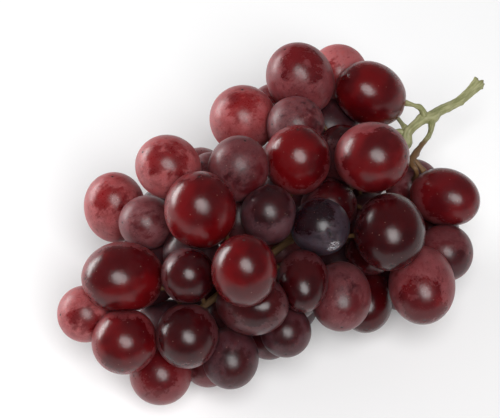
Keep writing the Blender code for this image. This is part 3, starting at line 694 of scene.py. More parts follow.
        inner = draw.uniform(self.lowest, self.highest, (self.tries, 3))
        inner = inner[self.within(inner)]
        room = np.minimum(draw.uniform(*self.radii, len(inner)), inner[:, 2] / self.above_table)
        self.fill(middles, radii, inner, np.minimum(room, clear_of_stalk(inner)), self.most)

        hidden = []
        for middle, radius in zip(middles[len(shown) :], radii[len(shown) :]):
            outward = unit(middle - nearest_on_twigs(middle[None], twigs[:1])[0])
            hidden.append(Berry(middle, radius * self.width_share, radius * self.length_share, outward))
        return hidden


@dataclass
class Nestling:
    """Brings every berry against its neighbours, those in sight by moving only to and from the eye."""

    turns: int = 30
    press: float = 1.5
    press_most: float = 2.4
    partners: int = 6
    push_share: float = 0.5
    holds: int = 2
    hold_reach: float = 7.0
    hold_share: float = 0.4
    slope_least: float = 0.3
    stalk_room: float = 2.0
    move_most: float = 1.0
    table_press: float = 0.8

    def pulled(self, berry: Berry, others: Sequence[Berry], in_sight: bool) -> np.ndarray:
        """Works out which way its neighbours push and draw a berry.

        Args:
            berry: The berry.
            others: All the others.
            in_sight: Whether it may move only to and from the eye.

        Returns:
            The move.
        """
        depths = np.array([pressed(berry, other) for other in others])
        ways = np.array([unit(other.middle - berry.middle) for other in others])
        if in_sight:
            ways = (ways @ SIDE.toward)[:, None] * SIDE.toward
        slope = np.linalg.norm(ways, axis=1)
        move = np.zeros(3)
        for other in np.argsort(-depths)[: self.partners]:
            if depths[other] > self.press_most:
                move -= ways[other] * (depths[other] - self.press_most) * self.push_share
        facing = slope > self.slope_least
        effort = np.where(facing, (self.press - depths) / np.maximum(slope, self.slope_least), np.inf)
        for other in np.argsort(effort)[: self.holds]:
            if 0 < effort[other] < self.hold_reach:
                move += ways[other] * (self.press - depths[other]) * self.hold_share / slope[other] ** 2
        return move

    def settle(self, berries: Sequence[Berry], shown: int, twigs: Sequence[Twig]) -> None:
        """Moves the berries a little at a time, clear of the wood and the table.

        Args:
            berries: All the berries, those in sight first. Their middles are moved.
            shown: How many are in sight.
            twigs: The stalk and the branches in sight.
        """
        for _ in range(self.turns):
            for number, berry in enumerate(berries):
                in_sight = number < shown
                move = self.pulled(berry, [other for other in berries if other is not berry], in_sight)
                offset = berry.middle - nearest_on_twigs(berry.middle[None], twigs)[0]
                apart = float(np.linalg.norm(offset))
                crowded = berry.radius + self.stalk_room - apart
                if crowded > 0:
                    push = offset / apart * crowded
                    move += (push @ SIDE.toward) * SIDE.toward if in_sight else push
                size = float(np.linalg.norm(move))
                if size > 0:
                    berry.middle = berry.middle + move * min(1.0, self.move_most / size)
                sunk = berry.reach(DOWN) - self.table_press - float(berry.middle[2])
                if sunk > 0:
                    rise = SIDE.toward / SIDE.toward[2] if in_sight else -DOWN
                    berry.middle = berry.middle + rise * sunk


@dataclass
class Gaps:
    """The gaps between the berries, where twigs may run."""

    berries: Sequence[Berry]
    block: HiddenBerries
    seed: int = 11
    tries: int = 14000
    turns: int = 8
    share: float = 0.5
    move: float = 1.5
    room: float = 3.0
    least: float = 0.7
    most: float = 8
    margin: float = 4.0
    lowest: float = 4
    middles: np.ndarray = field(init=False)
    radii: np.ndarray = field(init=False)

    def __post_init__(self) -> None:
        """Notes where the berries are."""
        self.middles = np.array([berry.middle for berry in self.berries])
        self.radii = np.array([berry.radius for berry in self.berries])

    def nearest_skin(self, points: np.ndarray) -> tuple[np.ndarray, np.ndarray]:
        """Finds the way out of the nearest berry from each point, and how far its skin is.

        Args:
            points: The points, one a row.

        Returns:
            The ways, one a row, and the distances, below nothing inside a berry.
        """
        offsets = points[:, None] - self.middles
        apart = np.linalg.norm(offsets, axis=2)
        nearest = np.argmin(apart - self.radii, axis=1)
        rows = np.arange(len(points))
        way = offsets[rows, nearest] / apart[rows, nearest][:, None]
        return way, (apart - self.radii)[rows, nearest]

    def points(self) -> np.ndarray:
        """Finds places in the gaps, each moved to the middle of its gap.

        Returns:
            The places, one a row.
        """
        draw = np.random.default_rng(self.seed)
        low = np.array(self.block.middle) - np.array(self.block.half)
        high = np.array(self.block.middle) + np.array(self.block.half)
        points = draw.uniform(low, high, (self.tries, 3))
        for _ in range(self.turns):
            way, clear = self.nearest_skin(points)
            points += way * np.clip(self.room - clear, 0, self.move)[:, None] * self.share
        _, clear = self.nearest_skin(points)
        roomy = (clear > self.least) & (clear < self.most)
        return points[roomy & self.block.within(points, self.margin) & (points[:, 2] > self.lowest)]


@dataclass
class Skeleton:
    """The wood, whose twigs find their way from the axis to each berry through the gaps.

    The way that costs least is taken. A cost is a length in millimetres, and what is better avoided counts
    as a detour.
    """

    gaps: Gaps
    stalk: Twig
    branches: list[Twig]
    core_starts: int = 7
    core_middle: Triple = (-0.9, -8.125, 30.5625)
    root_step: float = 3
    cover: float = 1.0
    step_least: float = 1.0
    step_most: float = 6.5
    step_choices: int = 16
    step_stops: int = 5
    step_graze: float = -0.2
    step_room: float = 2.2
    exposed_cost: float = 40.0
    end_nearest: float = 1.2
    end_farthest: float = 6
    end_skin_cost: float = 1.5
    end_turn_cost: float = 9
    end_show_cost: float = 25
    end_show_from: float = 0.2
    radius_most: float = 1.3
    thickening: float = 0.36
    start_share: float = 0.7
    berry_start_share: float = 0.8
    flare: float = 1.1
    flare_length: float = 0.4
    skin_gap: float = 0.35
    twig_room: float = 1.2
    straight: float = 0.6
    smooth_turns: int = 5
    smooth_share: float = 0.45
    roots: np.ndarray = field(init=False)
    points: np.ndarray = field(init=False)
    exposed: np.ndarray = field(init=False)
    costs: np.ndarray = field(init=False)
    parents: np.ndarray = field(init=False)

    def __post_init__(self) -> None:
        """Spreads the ways through the gaps."""
        self.roots = self.root_points()
        self.points = np.concatenate([self.roots, self.gaps.points()])
        self.exposed = ~np.array([self.behind_berries(point) for point in self.points])
        self.costs, self.parents = self.spread()

    def root_points(self) -> np.ndarray:
        """Finds places a few millimetres apart along the wood that is there already, inside the bunch.

        Returns:
            The places, one a row.
        """
        found = []
        for twig in [self.stalk, *self.branches]:
            first = self.core_starts if twig.is_stalk else 1
            for start, end in zip(twig.points[first:], twig.points[first + 1 :]):
                count = max(1, round(float(np.linalg.norm(end - start)) / self.root_step))
                found += [start + (end - start) * step / count for step in range(count)]
            found.append(twig.points[-1])
        return np.array(found)

    def behind_berries(self, point: np.ndarray) -> bool:
        """Tells whether a berry hides the point from the eye.

        Args:
            point: The point.

        Returns:
            Whether one does.
        """
        spot, _ = SIDE.look_of(point)
        for middle, radius in zip(self.gaps.middles, self.gaps.radii):
            if (middle - point) @ SIDE.toward > 0:
                shown, nearness = SIDE.look_of(middle)
                if np.linalg.norm(shown - spot) < radius / nearness - self.cover:
                    return True
        return False

    def step_cost(self, start: np.ndarray, end: np.ndarray) -> float:
        """Finds the length of a step, dearer where the gap is narrow, and endless through a berry.

        Args:
            start: Where the step starts.
            end: Where it ends.

        Returns:
            What the step costs.
        """
        stops = start + (end - start) * np.linspace(0, 1, self.step_stops)[:, None]
        _, clear = self.gaps.nearest_skin(stops)
        if clear[1:].min() < self.step_graze:
            return math.inf
        narrow = float(np.maximum(0, self.step_room - clear).mean())
        return float(np.linalg.norm(end - start)) * (1 + narrow)

    def spread(self) -> tuple[np.ndarray, np.ndarray]:
        """Finds the cheapest way from the roots to every place in the gaps.

        Returns:
            The cost of each place, and the place before it.
        """
        tree = KDTree(len(self.points))
        for index, point in enumerate(self.points):
            tree.insert(point, index)
        tree.balance()
        costs = np.full(len(self.points), np.inf)
        costs[: len(self.roots)] = 0.0
        parents = np.full(len(self.points), -1)
        queue = [(0.0, index) for index in range(len(self.roots))]
        settled = set()
        while queue:
            cost, index = heapq.heappop(queue)
            if index in settled:
                continue
            settled.add(index)
            for _, other, apart in tree.find_n(self.points[index], self.step_choices):
                if other in settled or apart > self.step_most or apart < self.step_least:
                    continue
                if cost + apart >= costs[other]:
                    continue
                step = self.step_cost(self.points[index], self.points[other])
                step += self.exposed_cost * self.exposed[other]
                if cost + step < costs[other]:
                    costs[other] = cost + step
                    parents[other] = index
                    heapq.heappush(queue, (cost + step, other))
        return costs, parents

    def end_for(self, berry: Berry) -> int:
        """Finds the place that a berry's own stalk starts from: near it, inside, and cheap to reach.

        Args:
            berry: The berry.

        Returns:
            The number of the place.
        """
        offsets = self.points - berry.middle
        apart = np.linalg.norm(offsets, axis=1)
        above_skin = apart - berry.radius
        inward = -unit(berry.middle - np.array(self.core_middle))
        turned = 1 - offsets @ inward / apart
        shows = np.maximum(0, offsets @ SIDE.toward / apart + self.end_show_from)
        cost = self.costs + self.end_skin_cost * above_skin
        cost = cost + self.end_turn_cost * turned + self.end_show_cost * shows
        cost[(above_skin < self.end_nearest) | (above_skin > self.end_farthest)] = np.inf
        return int(np.argmin(cost))

    def tip_of(self, berry: Berry, start: np.ndarray) -> np.ndarray:
        """Finds where a berry's stalk ends, just off its skin, and notes which side of it that is.

        Args:
            berry: The berry, which keeps the way to its stalk.
            start: Where its stalk comes from.

        Returns:
            The place where the stalk ends.
        """
        way = unit(start - berry.middle)
        berry.stalk_way = way
        return berry.middle + way * (berry.reach(way) + self.skin_gap)

    def straighten(self, twig: Twig, forks: set[tuple[float, ...]]) -> None:
        """Drops the points of a twig that its run hardly needs and where nothing branches off.

        Args:
            twig: The twig, which loses them.
            forks: The places where other twigs start.
        """
        number = 1
        while number < len(twig.points) - 1:
            before, place, after = twig.points[number - 1 : number + 2]
            aside = np.linalg.norm(place - nearest_on(place[None], before, after)[0])
            if aside < self.straight and tuple(place) not in forks:
                del twig.points[number]
                del twig.radii[number]
            else:
                number += 1

    def smoothed(
        self, places: dict[int, np.ndarray], children: dict[int, set[int]]
    ) -> dict[int, np.ndarray]:
        """Draws the places that the twigs run through into smoother runs, clear of the berries.

        Args:
            places: The places by number. They are moved.
            children: The places that follow each.

        Returns:
            The moved places.
        """
        for _ in range(self.smooth_turns):
            moved = {}
            for node, place in places.items():
                parent = int(self.parents[node])
                after = children.get(node, set())
                if parent < 0 or not after:
                    continue
                around = [places[parent], *[places[child] for child in after]]
                drawn = (1 - self.smooth_share) * place + self.smooth_share * np.mean(around, axis=0)
                stops = np.array([drawn, (drawn + places[parent]) / 2])
                ways, clear = self.gaps.nearest_skin(stops)
                moved[node] = drawn + ways.T @ np.maximum(0.0, self.twig_room - clear)
            places.update(moved)
        return places

    def ways_to_berries(
        self, served: set[int]
    ) -> tuple[dict[int, list[int]], dict[int, int], dict[int, set[int]]]:
        """Finds the ways from the roots to all the berries.

        Args:
            served: The berries that hang on the branches in sight.

        Returns:
            The berries that hang at each end, how many each place carries, and the places that follow each.
        """
        ends: dict[int, list[int]] = {}
        carried: dict[int, int] = {}
        children: dict[int, set[int]] = {}
        for number, berry in enumerate(self.gaps.berries):
            if number in served:
                continue
            node = self.end_for(berry)
            ends.setdefault(node, []).append(number)
            while node >= 0:
                carried[node] = carried.get(node, 0) + 1
                parent = int(self.parents[node])
                if parent >= 0:
                    children.setdefault(parent, set()).add(node)
                node = parent
        return ends, carried, children

    def branched(
        self, places: dict[int, np.ndarray], carried: dict[int, int], children: dict[int, set[int]]
    ) -> dict[int, Twig]:
        """Runs twigs through the places, each along the way that carries most.

        Args:
            places: The places by number.
            carried: How many berries each carries.
            children: The places that follow each.

        Returns:
            The twigs by the number of the place where each ends.
        """

        def radius(node: int) -> float:
            """Finds how thick the wood is at a place."""
            return min(self.radius_most, BERRY_STALK_RADIUS * carried[node] ** self.thickening)

        starts = sorted(
            (parent, child)
            for parent, found in children.items()
            for child in found
            if self.parents[parent] < 0
        )
        twigs = {}
        while starts:
            parent, node = starts.pop()
            twig = Twig([places[parent]], [radius(node) * self.start_share])
            while True:
                twig.points.append(places[node])
                twig.radii.append(radius(node))
                after = sorted(children.get(node, ()), key=lambda child: -carried[child])
                if not after:
                    break
                starts += [(node, child) for child in after[1:]]
                node = after[0]
            twigs[node] = twig
        return twigs

    def grow(self, served: set[int]) -> list[Twig]:
        """Joins the ways to all the berries into branching twigs, thicker where they carry more.

        Args:
            served: The berries that hang on the branches in sight.

        Returns:
            The new twigs.
        """
        ends, carried, children = self.ways_to_berries(served)
        places = self.smoothed({node: self.points[node].copy() for node in carried}, children)
        running = self.branched(places, carried, children)
        made = list(running.values())
        forks = {tuple(twig.points[0]) for twig in made}
        for twig in made:
            self.straighten(twig, forks)
        for end, numbers in sorted(ends.items()):
            for number in numbers:
                tip = self.tip_of(self.gaps.berries[number], places[end])
                near = tip + (places[end] - tip) * self.flare_length
                if end in running:
                    twig = running.pop(end)
                else:
                    twig = Twig([places[end]], [BERRY_STALK_RADIUS * self.berry_start_share])
                    made.append(twig)
                twig.points += [near, tip]
                twig.radii += [BERRY_STALK_RADIUS, self.flare]
                twig.ends_at_berry = True
        return made

    def end_at_berry(self, twig: Twig, berry: Berry) -> None:
        """Runs a branch on to the berry that hangs on it.

        Args:
            twig: The branch, which gets one more point.
            berry: The berry.
        """
        twig.points.append(self.tip_of(berry, twig.points[-1]))
        twig.radii.append(self.flare)
        twig.ends_at_berry = True


@dataclass
class Bunch:
    """The whole layout: all berries, all wood, and which spray each berry belongs to."""

    axis_tip_radius: float = 0.95
    join_least: float = 0.8
    crowd_cost: float = 4
    berries: list[Berry] = field(default_factory=list)
    twigs: list[Twig] = field(default_factory=list)
    sprays: dict[str, list[int]] = field(default_factory=dict)

    def grow(self) -> None:
        """Grows the berries and the wood."""
        stalk = Twig.in_sight(STALK_IN_SIGHT, is_stalk=True)
        stalk.points += [np.array(spot, float) for spot in AXIS_IN_CORE]
        stalk.radii += np.linspace(STALK_RADIUS, self.axis_tip_radius, len(AXIS_IN_CORE) + 1)[1:].tolist()
        branches = [Twig.in_sight(spots) for spots in (WING, UPPER_TWIG, BACK_TWIG, SIDE_TWIG)]
        shown = ShownBerries().grow(stalk)
        names = list(shown)
        block = HiddenBerries()
        self.berries = list(shown.values())
        self.berries += block.grow(self.berries, [stalk, *branches])
        Nestling().settle(self.berries, len(shown), [stalk, *branches])
        wood = Skeleton(Gaps(self.berries, block), stalk, branches)
        wood.end_at_berry(branches[0], shown["wing_1"])
        wood.end_at_berry(branches[1], shown["stalk_side"])
        served = {names.index("wing_1"), names.index("stalk_side")}
        self.twigs = [stalk, *branches, *wood.grow(served)]
        self.sprays = self.share_out()

    def share_out(self) -> dict[str, list[int]]:
        """Grows each spray from its middle, berry by berry.

        Returns:
            The berries of each spray, by their numbers.
        """
        press = np.array([[pressed(a, b) if a is not b else 0.0 for b in self.berries] for a in self.berries])
        middles = np.array([berry.middle for berry in self.berries])
        members: dict[str, list[int]] = {}
        taken: set[int] = set()
        for name, spot in SPRAYS.items():
            order = np.argsort(np.linalg.norm(middles - np.array(spot), axis=1))
            first = next(int(number) for number in order if int(number) not in taken)
            members[name] = [first]
            taken.add(first)
        while len(taken) < len(self.berries):
            best: tuple[float, str, int] | None = None
            for name, inside in members.items():
                heart = middles[inside].mean(axis=0)
                for number in range(len(self.berries)):
                    if number in taken or press[inside, number].max() < self.join_least:
                        continue
                    cost = float(np.linalg.norm(middles[number] - heart)) + self.crowd_cost * len(inside)
                    if best is None or cost < best[0]:
                        best = (cost, name, number)
            if best is None:
                raise RuntimeError("a berry hangs on its own")
            members[best[1]].append(best[2])
            taken.add(best[2])
        return members


@dataclass(frozen=True)
class Cloud:
    """A pattern of clouds: how many there are to a millimetre, how finely broken up, and how rough."""

    scale: float
    detail: float = 3.0
    roughness: float = 0.55


@dataclass(frozen=True)
class Rise:
    """How a result eases from start to end while a value rises from low to high."""

    low: float
    high: float
    start: float = 0.0
    end: float = 1.0


class Nodes:
    """A material's nodes, added one by one."""

    def __init__(self, name: str) -> None:
        """Starts a material that holds only its surface shader.

        Args:
            name: The material's name.
        """
        self.material = bpy.data.materials.new(name)
        self.material.use_nodes = True
        self.tree = self.material.node_tree
        self.surface = self.tree.nodes["Principled BSDF"]

    def feed(self, socket: bpy.types.NodeSocket, value: object) -> None:
        """Links a socket to another, or sets it.

        Args:
            socket: The socket.
            value: Another node's socket, or the value.
        """
        if isinstance(value, bpy.types.NodeSocket):
            self.tree.links.new(value, socket)
        else:
            socket.default_value = value

    def attribute(self, name: str, output: str = "Fac") -> bpy.types.NodeSocket:
        """Reads one of the mesh's own values.

        Args:
            name: The value's name.
            output: Which output gives it, by whether it is one number or three.

        Returns:
            The value.
        """
        node = self.tree.nodes.new("ShaderNodeAttribute")
        node.attribute_name = name
        return node.outputs[output]

    def noise(self, place: bpy.types.NodeSocket, cloud: Cloud) -> bpy.types.NodeSocket:
        """Adds clouds.

        Args:
            place: Where they are read, in millimetres.
            cloud: Their pattern.

        Returns:
            How dense they are, from 0 to 1.
        """
        node = self.tree.nodes.new("ShaderNodeTexNoise")
        self.feed(node.inputs["Vector"], place)
        node.inputs["Scale"].default_value = cloud.scale
        node.inputs["Detail"].default_value = cloud.detail
        node.inputs["Roughness"].default_value = cloud.roughness
        return node.outputs["Fac"]

    def specks(self, place: bpy.types.NodeSocket, scale: float) -> bpy.types.NodeSocket:
        """Scatters specks.

        Args:
            place: Where they are read, in millimetres.
            scale: How many there are to a millimetre.

        Returns:
            How far it is to the nearest one.
        """
        node = self.tree.nodes.new("ShaderNodeTexVoronoi")
        self.feed(node.inputs["Vector"], place)
        node.inputs["Scale"].default_value = scale
        return node.outputs["Distance"]

    def scaled(self, place: bpy.types.NodeSocket, scale: Triple) -> bpy.types.NodeSocket:
        """Stretches a place along each axis.

        Args:
            place: The place.
            scale: How much along each axis.

        Returns:
            The stretched place.
        """
        node = self.tree.nodes.new("ShaderNodeVectorMath")
        node.operation = "MULTIPLY"
        self.feed(node.inputs[0], place)
        node.inputs[1].default_value = scale
        return node.outputs["Vector"]

    def sum(self, operation: str, first: object, second: object, third: object = 0.0) -> bpy.types.NodeSocket:
        """Adds a sum of numbers.

        Args:
            operation: What is done, as the maths node names it.
            first: The first number or socket.
            second: The second.
            third: The third, where the operation has one.

        Returns:
            The result.
        """
        node = self.tree.nodes.new("ShaderNodeMath")
        node.operation = operation
        for socket, value in zip(node.inputs, (first, second, third)):
            self.feed(socket, value)
        return node.outputs["Value"]

    def ease(
        self, value: object, low: object, high: object, start: float = 0.0, end: float = 1.0
    ) -> bpy.types.NodeSocket:
        """Eases from start to end while a value rises from low to high.

        Args:
            value: The value.
            low: Where the rise begins.
            high: Where it is over.
            start: The result up to there.
            end: The result from there on.

        Returns:
            The result.
        """
        node = self.tree.nodes.new("ShaderNodeMapRange")
        node.interpolation_type = "SMOOTHSTEP"
        for name, given in (("Value", value), ("From Min", low), ("From Max", high)):
            self.feed(node.inputs[name], given)
        node.inputs["To Min"].default_value = start
        node.inputs["To Max"].default_value = end
        return node.outputs["Result"]

    def rise(self, value: object, rise: Rise) -> bpy.types.NodeSocket:
        """Eases by a value, as a rise says."""
        return self.ease(value, rise.low, rise.high, rise.start, rise.end)

    def stir(self, value: object, cloud: bpy.types.NodeSocket, height: float) -> bpy.types.NodeSocket:
        """Raises and lowers a value by the ups and downs of clouds, which lie round a half."""
        return self.sum("MULTIPLY_ADD", self.sum("SUBTRACT", cloud, 0.5), height, value)

    def product(self, first: object, *others: object) -> bpy.types.NodeSocket:
        """Multiplies numbers.

        Args:
            first: The first number or socket.
            others: The others.

        Returns:
            The product.
        """
        for other in others:
            first = self.sum("MULTIPLY", first, other)
        return first

    def mix(self, share: object, first: object, second: object) -> bpy.types.NodeSocket:
        """Mixes two colours.

        Args:
            share: The share of the second.
            first: The first colour.
            second: The second colour.

        Returns:
            The mixture.
        """
        node = self.tree.nodes.new("ShaderNodeMix")
        node.data_type = "RGBA"
        for identifier, value in (("Factor_Float", share), ("A_Color", first), ("B_Color", second)):
            socket = next(socket for socket in node.inputs if socket.identifier == identifier)
            self.feed(socket, value)
        return next(socket for socket in node.outputs if socket.identifier == "Result_Color")

    def bump(self, height: bpy.types.NodeSocket, strength: float, distance: float) -> bpy.types.NodeSocket:
        """Turns a height into a rough surface.

        Args:
            height: The height.
            strength: How much it counts.
            distance: How high it is in metres, where it is one.

        Returns:
            The way that the surface faces.
        """
        node = self.tree.nodes.new("ShaderNodeBump")
        node.inputs["Strength"].default_value = strength
        node.inputs["Distance"].default_value = distance
        self.feed(node.inputs["Height"], height)
        return node.outputs["Normal"]

    def set(self, **values: object) -> None:
        """Feeds the surface shader's sockets, named with _ for a space."""
        for name, value in values.items():
            self.feed(self.surface.inputs[name.replace("_", " ")], value)


def paint(colour: Colour) -> tuple[float, float, float, float]:
    """Gives a colour that is named as screens name it, from 0 to 255, as the light it sends back.

    Args:
        colour: Its red, green and blue.

    Returns:
        The shares of red, green and blue light, and a one for a solid colour.
    """
    dim_most, dim_slope, shift, power = 0.04045, 12.92, 0.055, 2.4
    shares = [part / 255 for part in colour]
    linear = [
        share / dim_slope if share <= dim_most else ((share + shift) / (1 + shift)) ** power
        for share in shares
    ]
    return (*linear, 1.0)


@dataclass(frozen=True)
class SkinFinish:
    """Grape skin: glossy and a little see-through, with a veil of wax bloom that is rubbed off in places. The
    veil is also painted thicker towards the rim and thinner at the spot that stands proud, which mostly faces
    the eye, as a painted sheen.

    Each Cloud is a pattern, and each Rise says how one of them, or a value of the mesh, changes the look.
    """

    tone: SkinTone
    flesh: Colour
    depth: Colour
    veil: Colour
    gloss: float = 0.25
    dull: float = 0.52
    speck: Colour = (170, 128, 116)
    stain: Colour = (26, 15, 14)
    crumb: Colour = (196, 190, 194)
    blotches: Cloud = Cloud(0.16, 5.0, 0.62)
    smears: Cloud = Cloud(0.5, 4.0)
    smear_stretch: Triple = (0.45, 1.5, 0.8)
    clouds: Cloud = Cloud(0.30, 6.0, 0.66)
    grain: Cloud = Cloud(2.4)
    ripeness: Cloud = Cloud(0.075, 2.0)
    flecks: Cloud = Cloud(0.85, 4.0, 0.6)
    speck_scale: float = 0.42
    edge_blotched: float = 0.95
    edge_smeared: float = 0.45
    edge_flecked: float = 0.30
    edge_within: float = 0.10
    edge_beyond: float = 0.09
    wax_left: float = 0.12
    crust_width: float = 0.3
    crust_height: float = 0.35
    wax_beside_crust: float = 0.95
    # painted sheen: the veil is painted thicker towards the rim, away from the proud spot, and thinner at it
    painted_rim_sheen: Rise = Rise(0.2, 0.95, 1.15, 0.85)
    clouded: Rise = Rise(0.30, 0.70, 0.55, 1.05)
    smeared: Rise = Rise(0.58, 0.70, 1.0, 0.35)
    nicked: Rise = Rise(0.28, 0.36, 0.45, 1.0)
    grained: Rise = Rise(0.25, 0.75, 0.84, 1.10)
    flecked: Rise = Rise(0.33, 0.42, 0.45, 1.0)
    ripened: Rise = Rise(0.38, 0.62)
    specked: Rise = Rise(0.04, 0.10, 0.32, 0.0)
    stained: Rise = Rise(0.35, 0.75)
    crumbling: Rise = Rise(0.25, 0.6)
    crumb_grain: Rise = Rise(0.50, 0.58, 0.0, 0.85)
    shine_grain: float = 0.08
    scar_dull: Rise = Rise(0.3, 0.8, 0.0, 0.7)
    relief: tuple[float, float] = (0.6, 0.12)
    relief_strength: float = 0.45
    relief_height: float = 0.0004
    bending: float = 1.38
    glow_share: float = 0.7
    glow: Triple = (1.0, 0.12, 0.10)
    glow_length: float = 0.0035
    coat: float = 0.06
    coat_roughness: float = 0.08
    sheen: float = 0.06
    sheen_roughness: float = 0.35

    def wax(
        self,
        nodes: Nodes,
        blotches: bpy.types.NodeSocket,
        smears: bpy.types.NodeSocket,
        flecks: bpy.types.NodeSocket,
    ) -> bpy.types.NodeSocket:
        """Finds how thick the wax lies: worn off inside a ragged edge, and thickest just outside it. It is
        also painted thicker towards the rim and thinner at the proud spot, as a painted sheen.

        Args:
            nodes: The material's nodes.
            blotches: The broad pattern of the edge.
            smears: The drawn-out pattern of the edge.
            flecks: The fine pattern of the edge.

        Returns:
            The thickness, as a share of full bloom.
        """
        exposure = nodes.attribute("exposure")
        rubbed = nodes.attribute("rubbed")
        edge = nodes.stir(exposure, blotches, self.edge_blotched)
        edge = nodes.stir(edge, smears, self.edge_smeared)
        edge = nodes.stir(edge, flecks, self.edge_flecked)
        low = nodes.sum("SUBTRACT", rubbed, self.edge_within)
        high = nodes.sum("ADD", rubbed, self.edge_beyond)
        bare = nodes.ease(edge, low, high, 1.0, self.wax_left)
        crust = nodes.ease(edge, nodes.sum("SUBTRACT", rubbed, self.crust_width), low)
        return nodes.product(
            nodes.attribute("bloom"),
            bare,
            # painted sheen: thicker veil towards the rim, thinner at the proud spot
            nodes.rise(exposure, self.painted_rim_sheen),
            nodes.sum("MULTIPLY_ADD", nodes.product(crust, bare), self.crust_height, self.wax_beside_crust),
            nodes.rise(smears, self.smeared),
            nodes.rise(blotches, self.nicked),
            nodes.rise(flecks, self.flecked),
        )

    def dress(self) -> bpy.types.Material:
        """Makes the material.

        Returns:
            The material, which reads the berry's own place, exposure, bloom, rubbed, scar and crumbs values.
        """
        nodes = Nodes(self.tone.value)
        place = nodes.attribute("place", "Vector")
        scar = nodes.attribute("scar")
        blotches = nodes.noise(place, self.blotches)
        smears = nodes.noise(nodes.scaled(place, self.smear_stretch), self.smears)
        flecks = nodes.noise(place, self.flecks)
        clouds = nodes.noise(place, self.clouds)
        grain = nodes.noise(place, self.grain)
        wax = nodes.product(
            self.wax(nodes, blotches, smears, flecks),
            nodes.rise(clouds, self.clouded),
            nodes.rise(grain, self.grained),
        )

        ripened = nodes.rise(nodes.noise(place, self.ripeness), self.ripened)
        colour = nodes.mix(ripened, paint(self.depth), paint(self.flesh))
        colour = nodes.mix(wax, colour, paint(self.veil))
        specked = nodes.rise(nodes.specks(place, self.speck_scale), self.specked)
        colour = nodes.mix(specked, colour, paint(self.speck))
        colour = nodes.mix(nodes.rise(scar, self.stained), colour, paint(self.stain))
        crumbled = nodes.rise(nodes.attribute("crumbs"), self.crumbling)
        crumbled = nodes.product(crumbled, nodes.rise(grain, self.crumb_grain))
        colour = nodes.mix(crumbled, colour, paint(self.crumb))

        shine = nodes.sum("MULTIPLY_ADD", wax, self.dull - self.gloss, self.gloss)
        shine = nodes.stir(shine, grain, self.shine_grain)
        shine = nodes.sum("MAXIMUM", shine, nodes.rise(scar, self.scar_dull))
        cloud_height, grain_height = self.relief
        height = nodes.sum("MULTIPLY_ADD", clouds, cloud_height, nodes.product(grain, grain_height))
        nodes.set(
            Base_Color=colour,
            Roughness=shine,
            Normal=nodes.bump(height, self.relief_strength, self.relief_height),
            IOR=self.bending,
            Subsurface_Weight=self.glow_share,
            Subsurface_Radius=self.glow,
            Subsurface_Scale=self.glow_length,
            Coat_Weight=self.coat,
            Coat_Roughness=self.coat_roughness,
            Sheen_Weight=self.sheen,
            Sheen_Roughness=self.sheen_roughness,
            Sheen_Tint=paint(self.veil),
        )
        return nodes.material


SKINS: tuple[SkinFinish, ...] = (
    SkinFinish(SkinTone.RUBY, (97, 3, 7), (68, 2, 6), (128, 56, 60), gloss=0.21),
    SkinFinish(SkinTone.GARNET, (58, 3, 6), (42, 2, 5), (92, 48, 52), gloss=0.2),
    SkinFinish(SkinTone.CRIMSON, (96, 8, 14), (76, 5, 11), (128, 64, 68), gloss=0.24),
    SkinFinish(SkinTone.ROSE, (122, 18, 22), (94, 8, 14), (160, 86, 88), gloss=0.27),
    SkinFinish(SkinTone.MAUVE, (80, 12, 18), (54, 6, 12), (114, 64, 68), gloss=0.3, dull=0.56),
    SkinFinish(SkinTone.PLUM, (52, 6, 10), (36, 4, 8), (84, 48, 54), gloss=0.28, dull=0.56),
    SkinFinish(SkinTone.SLATE, (28, 3, 8), (20, 2, 8), (66, 52, 62), gloss=0.24, dull=0.56),
)


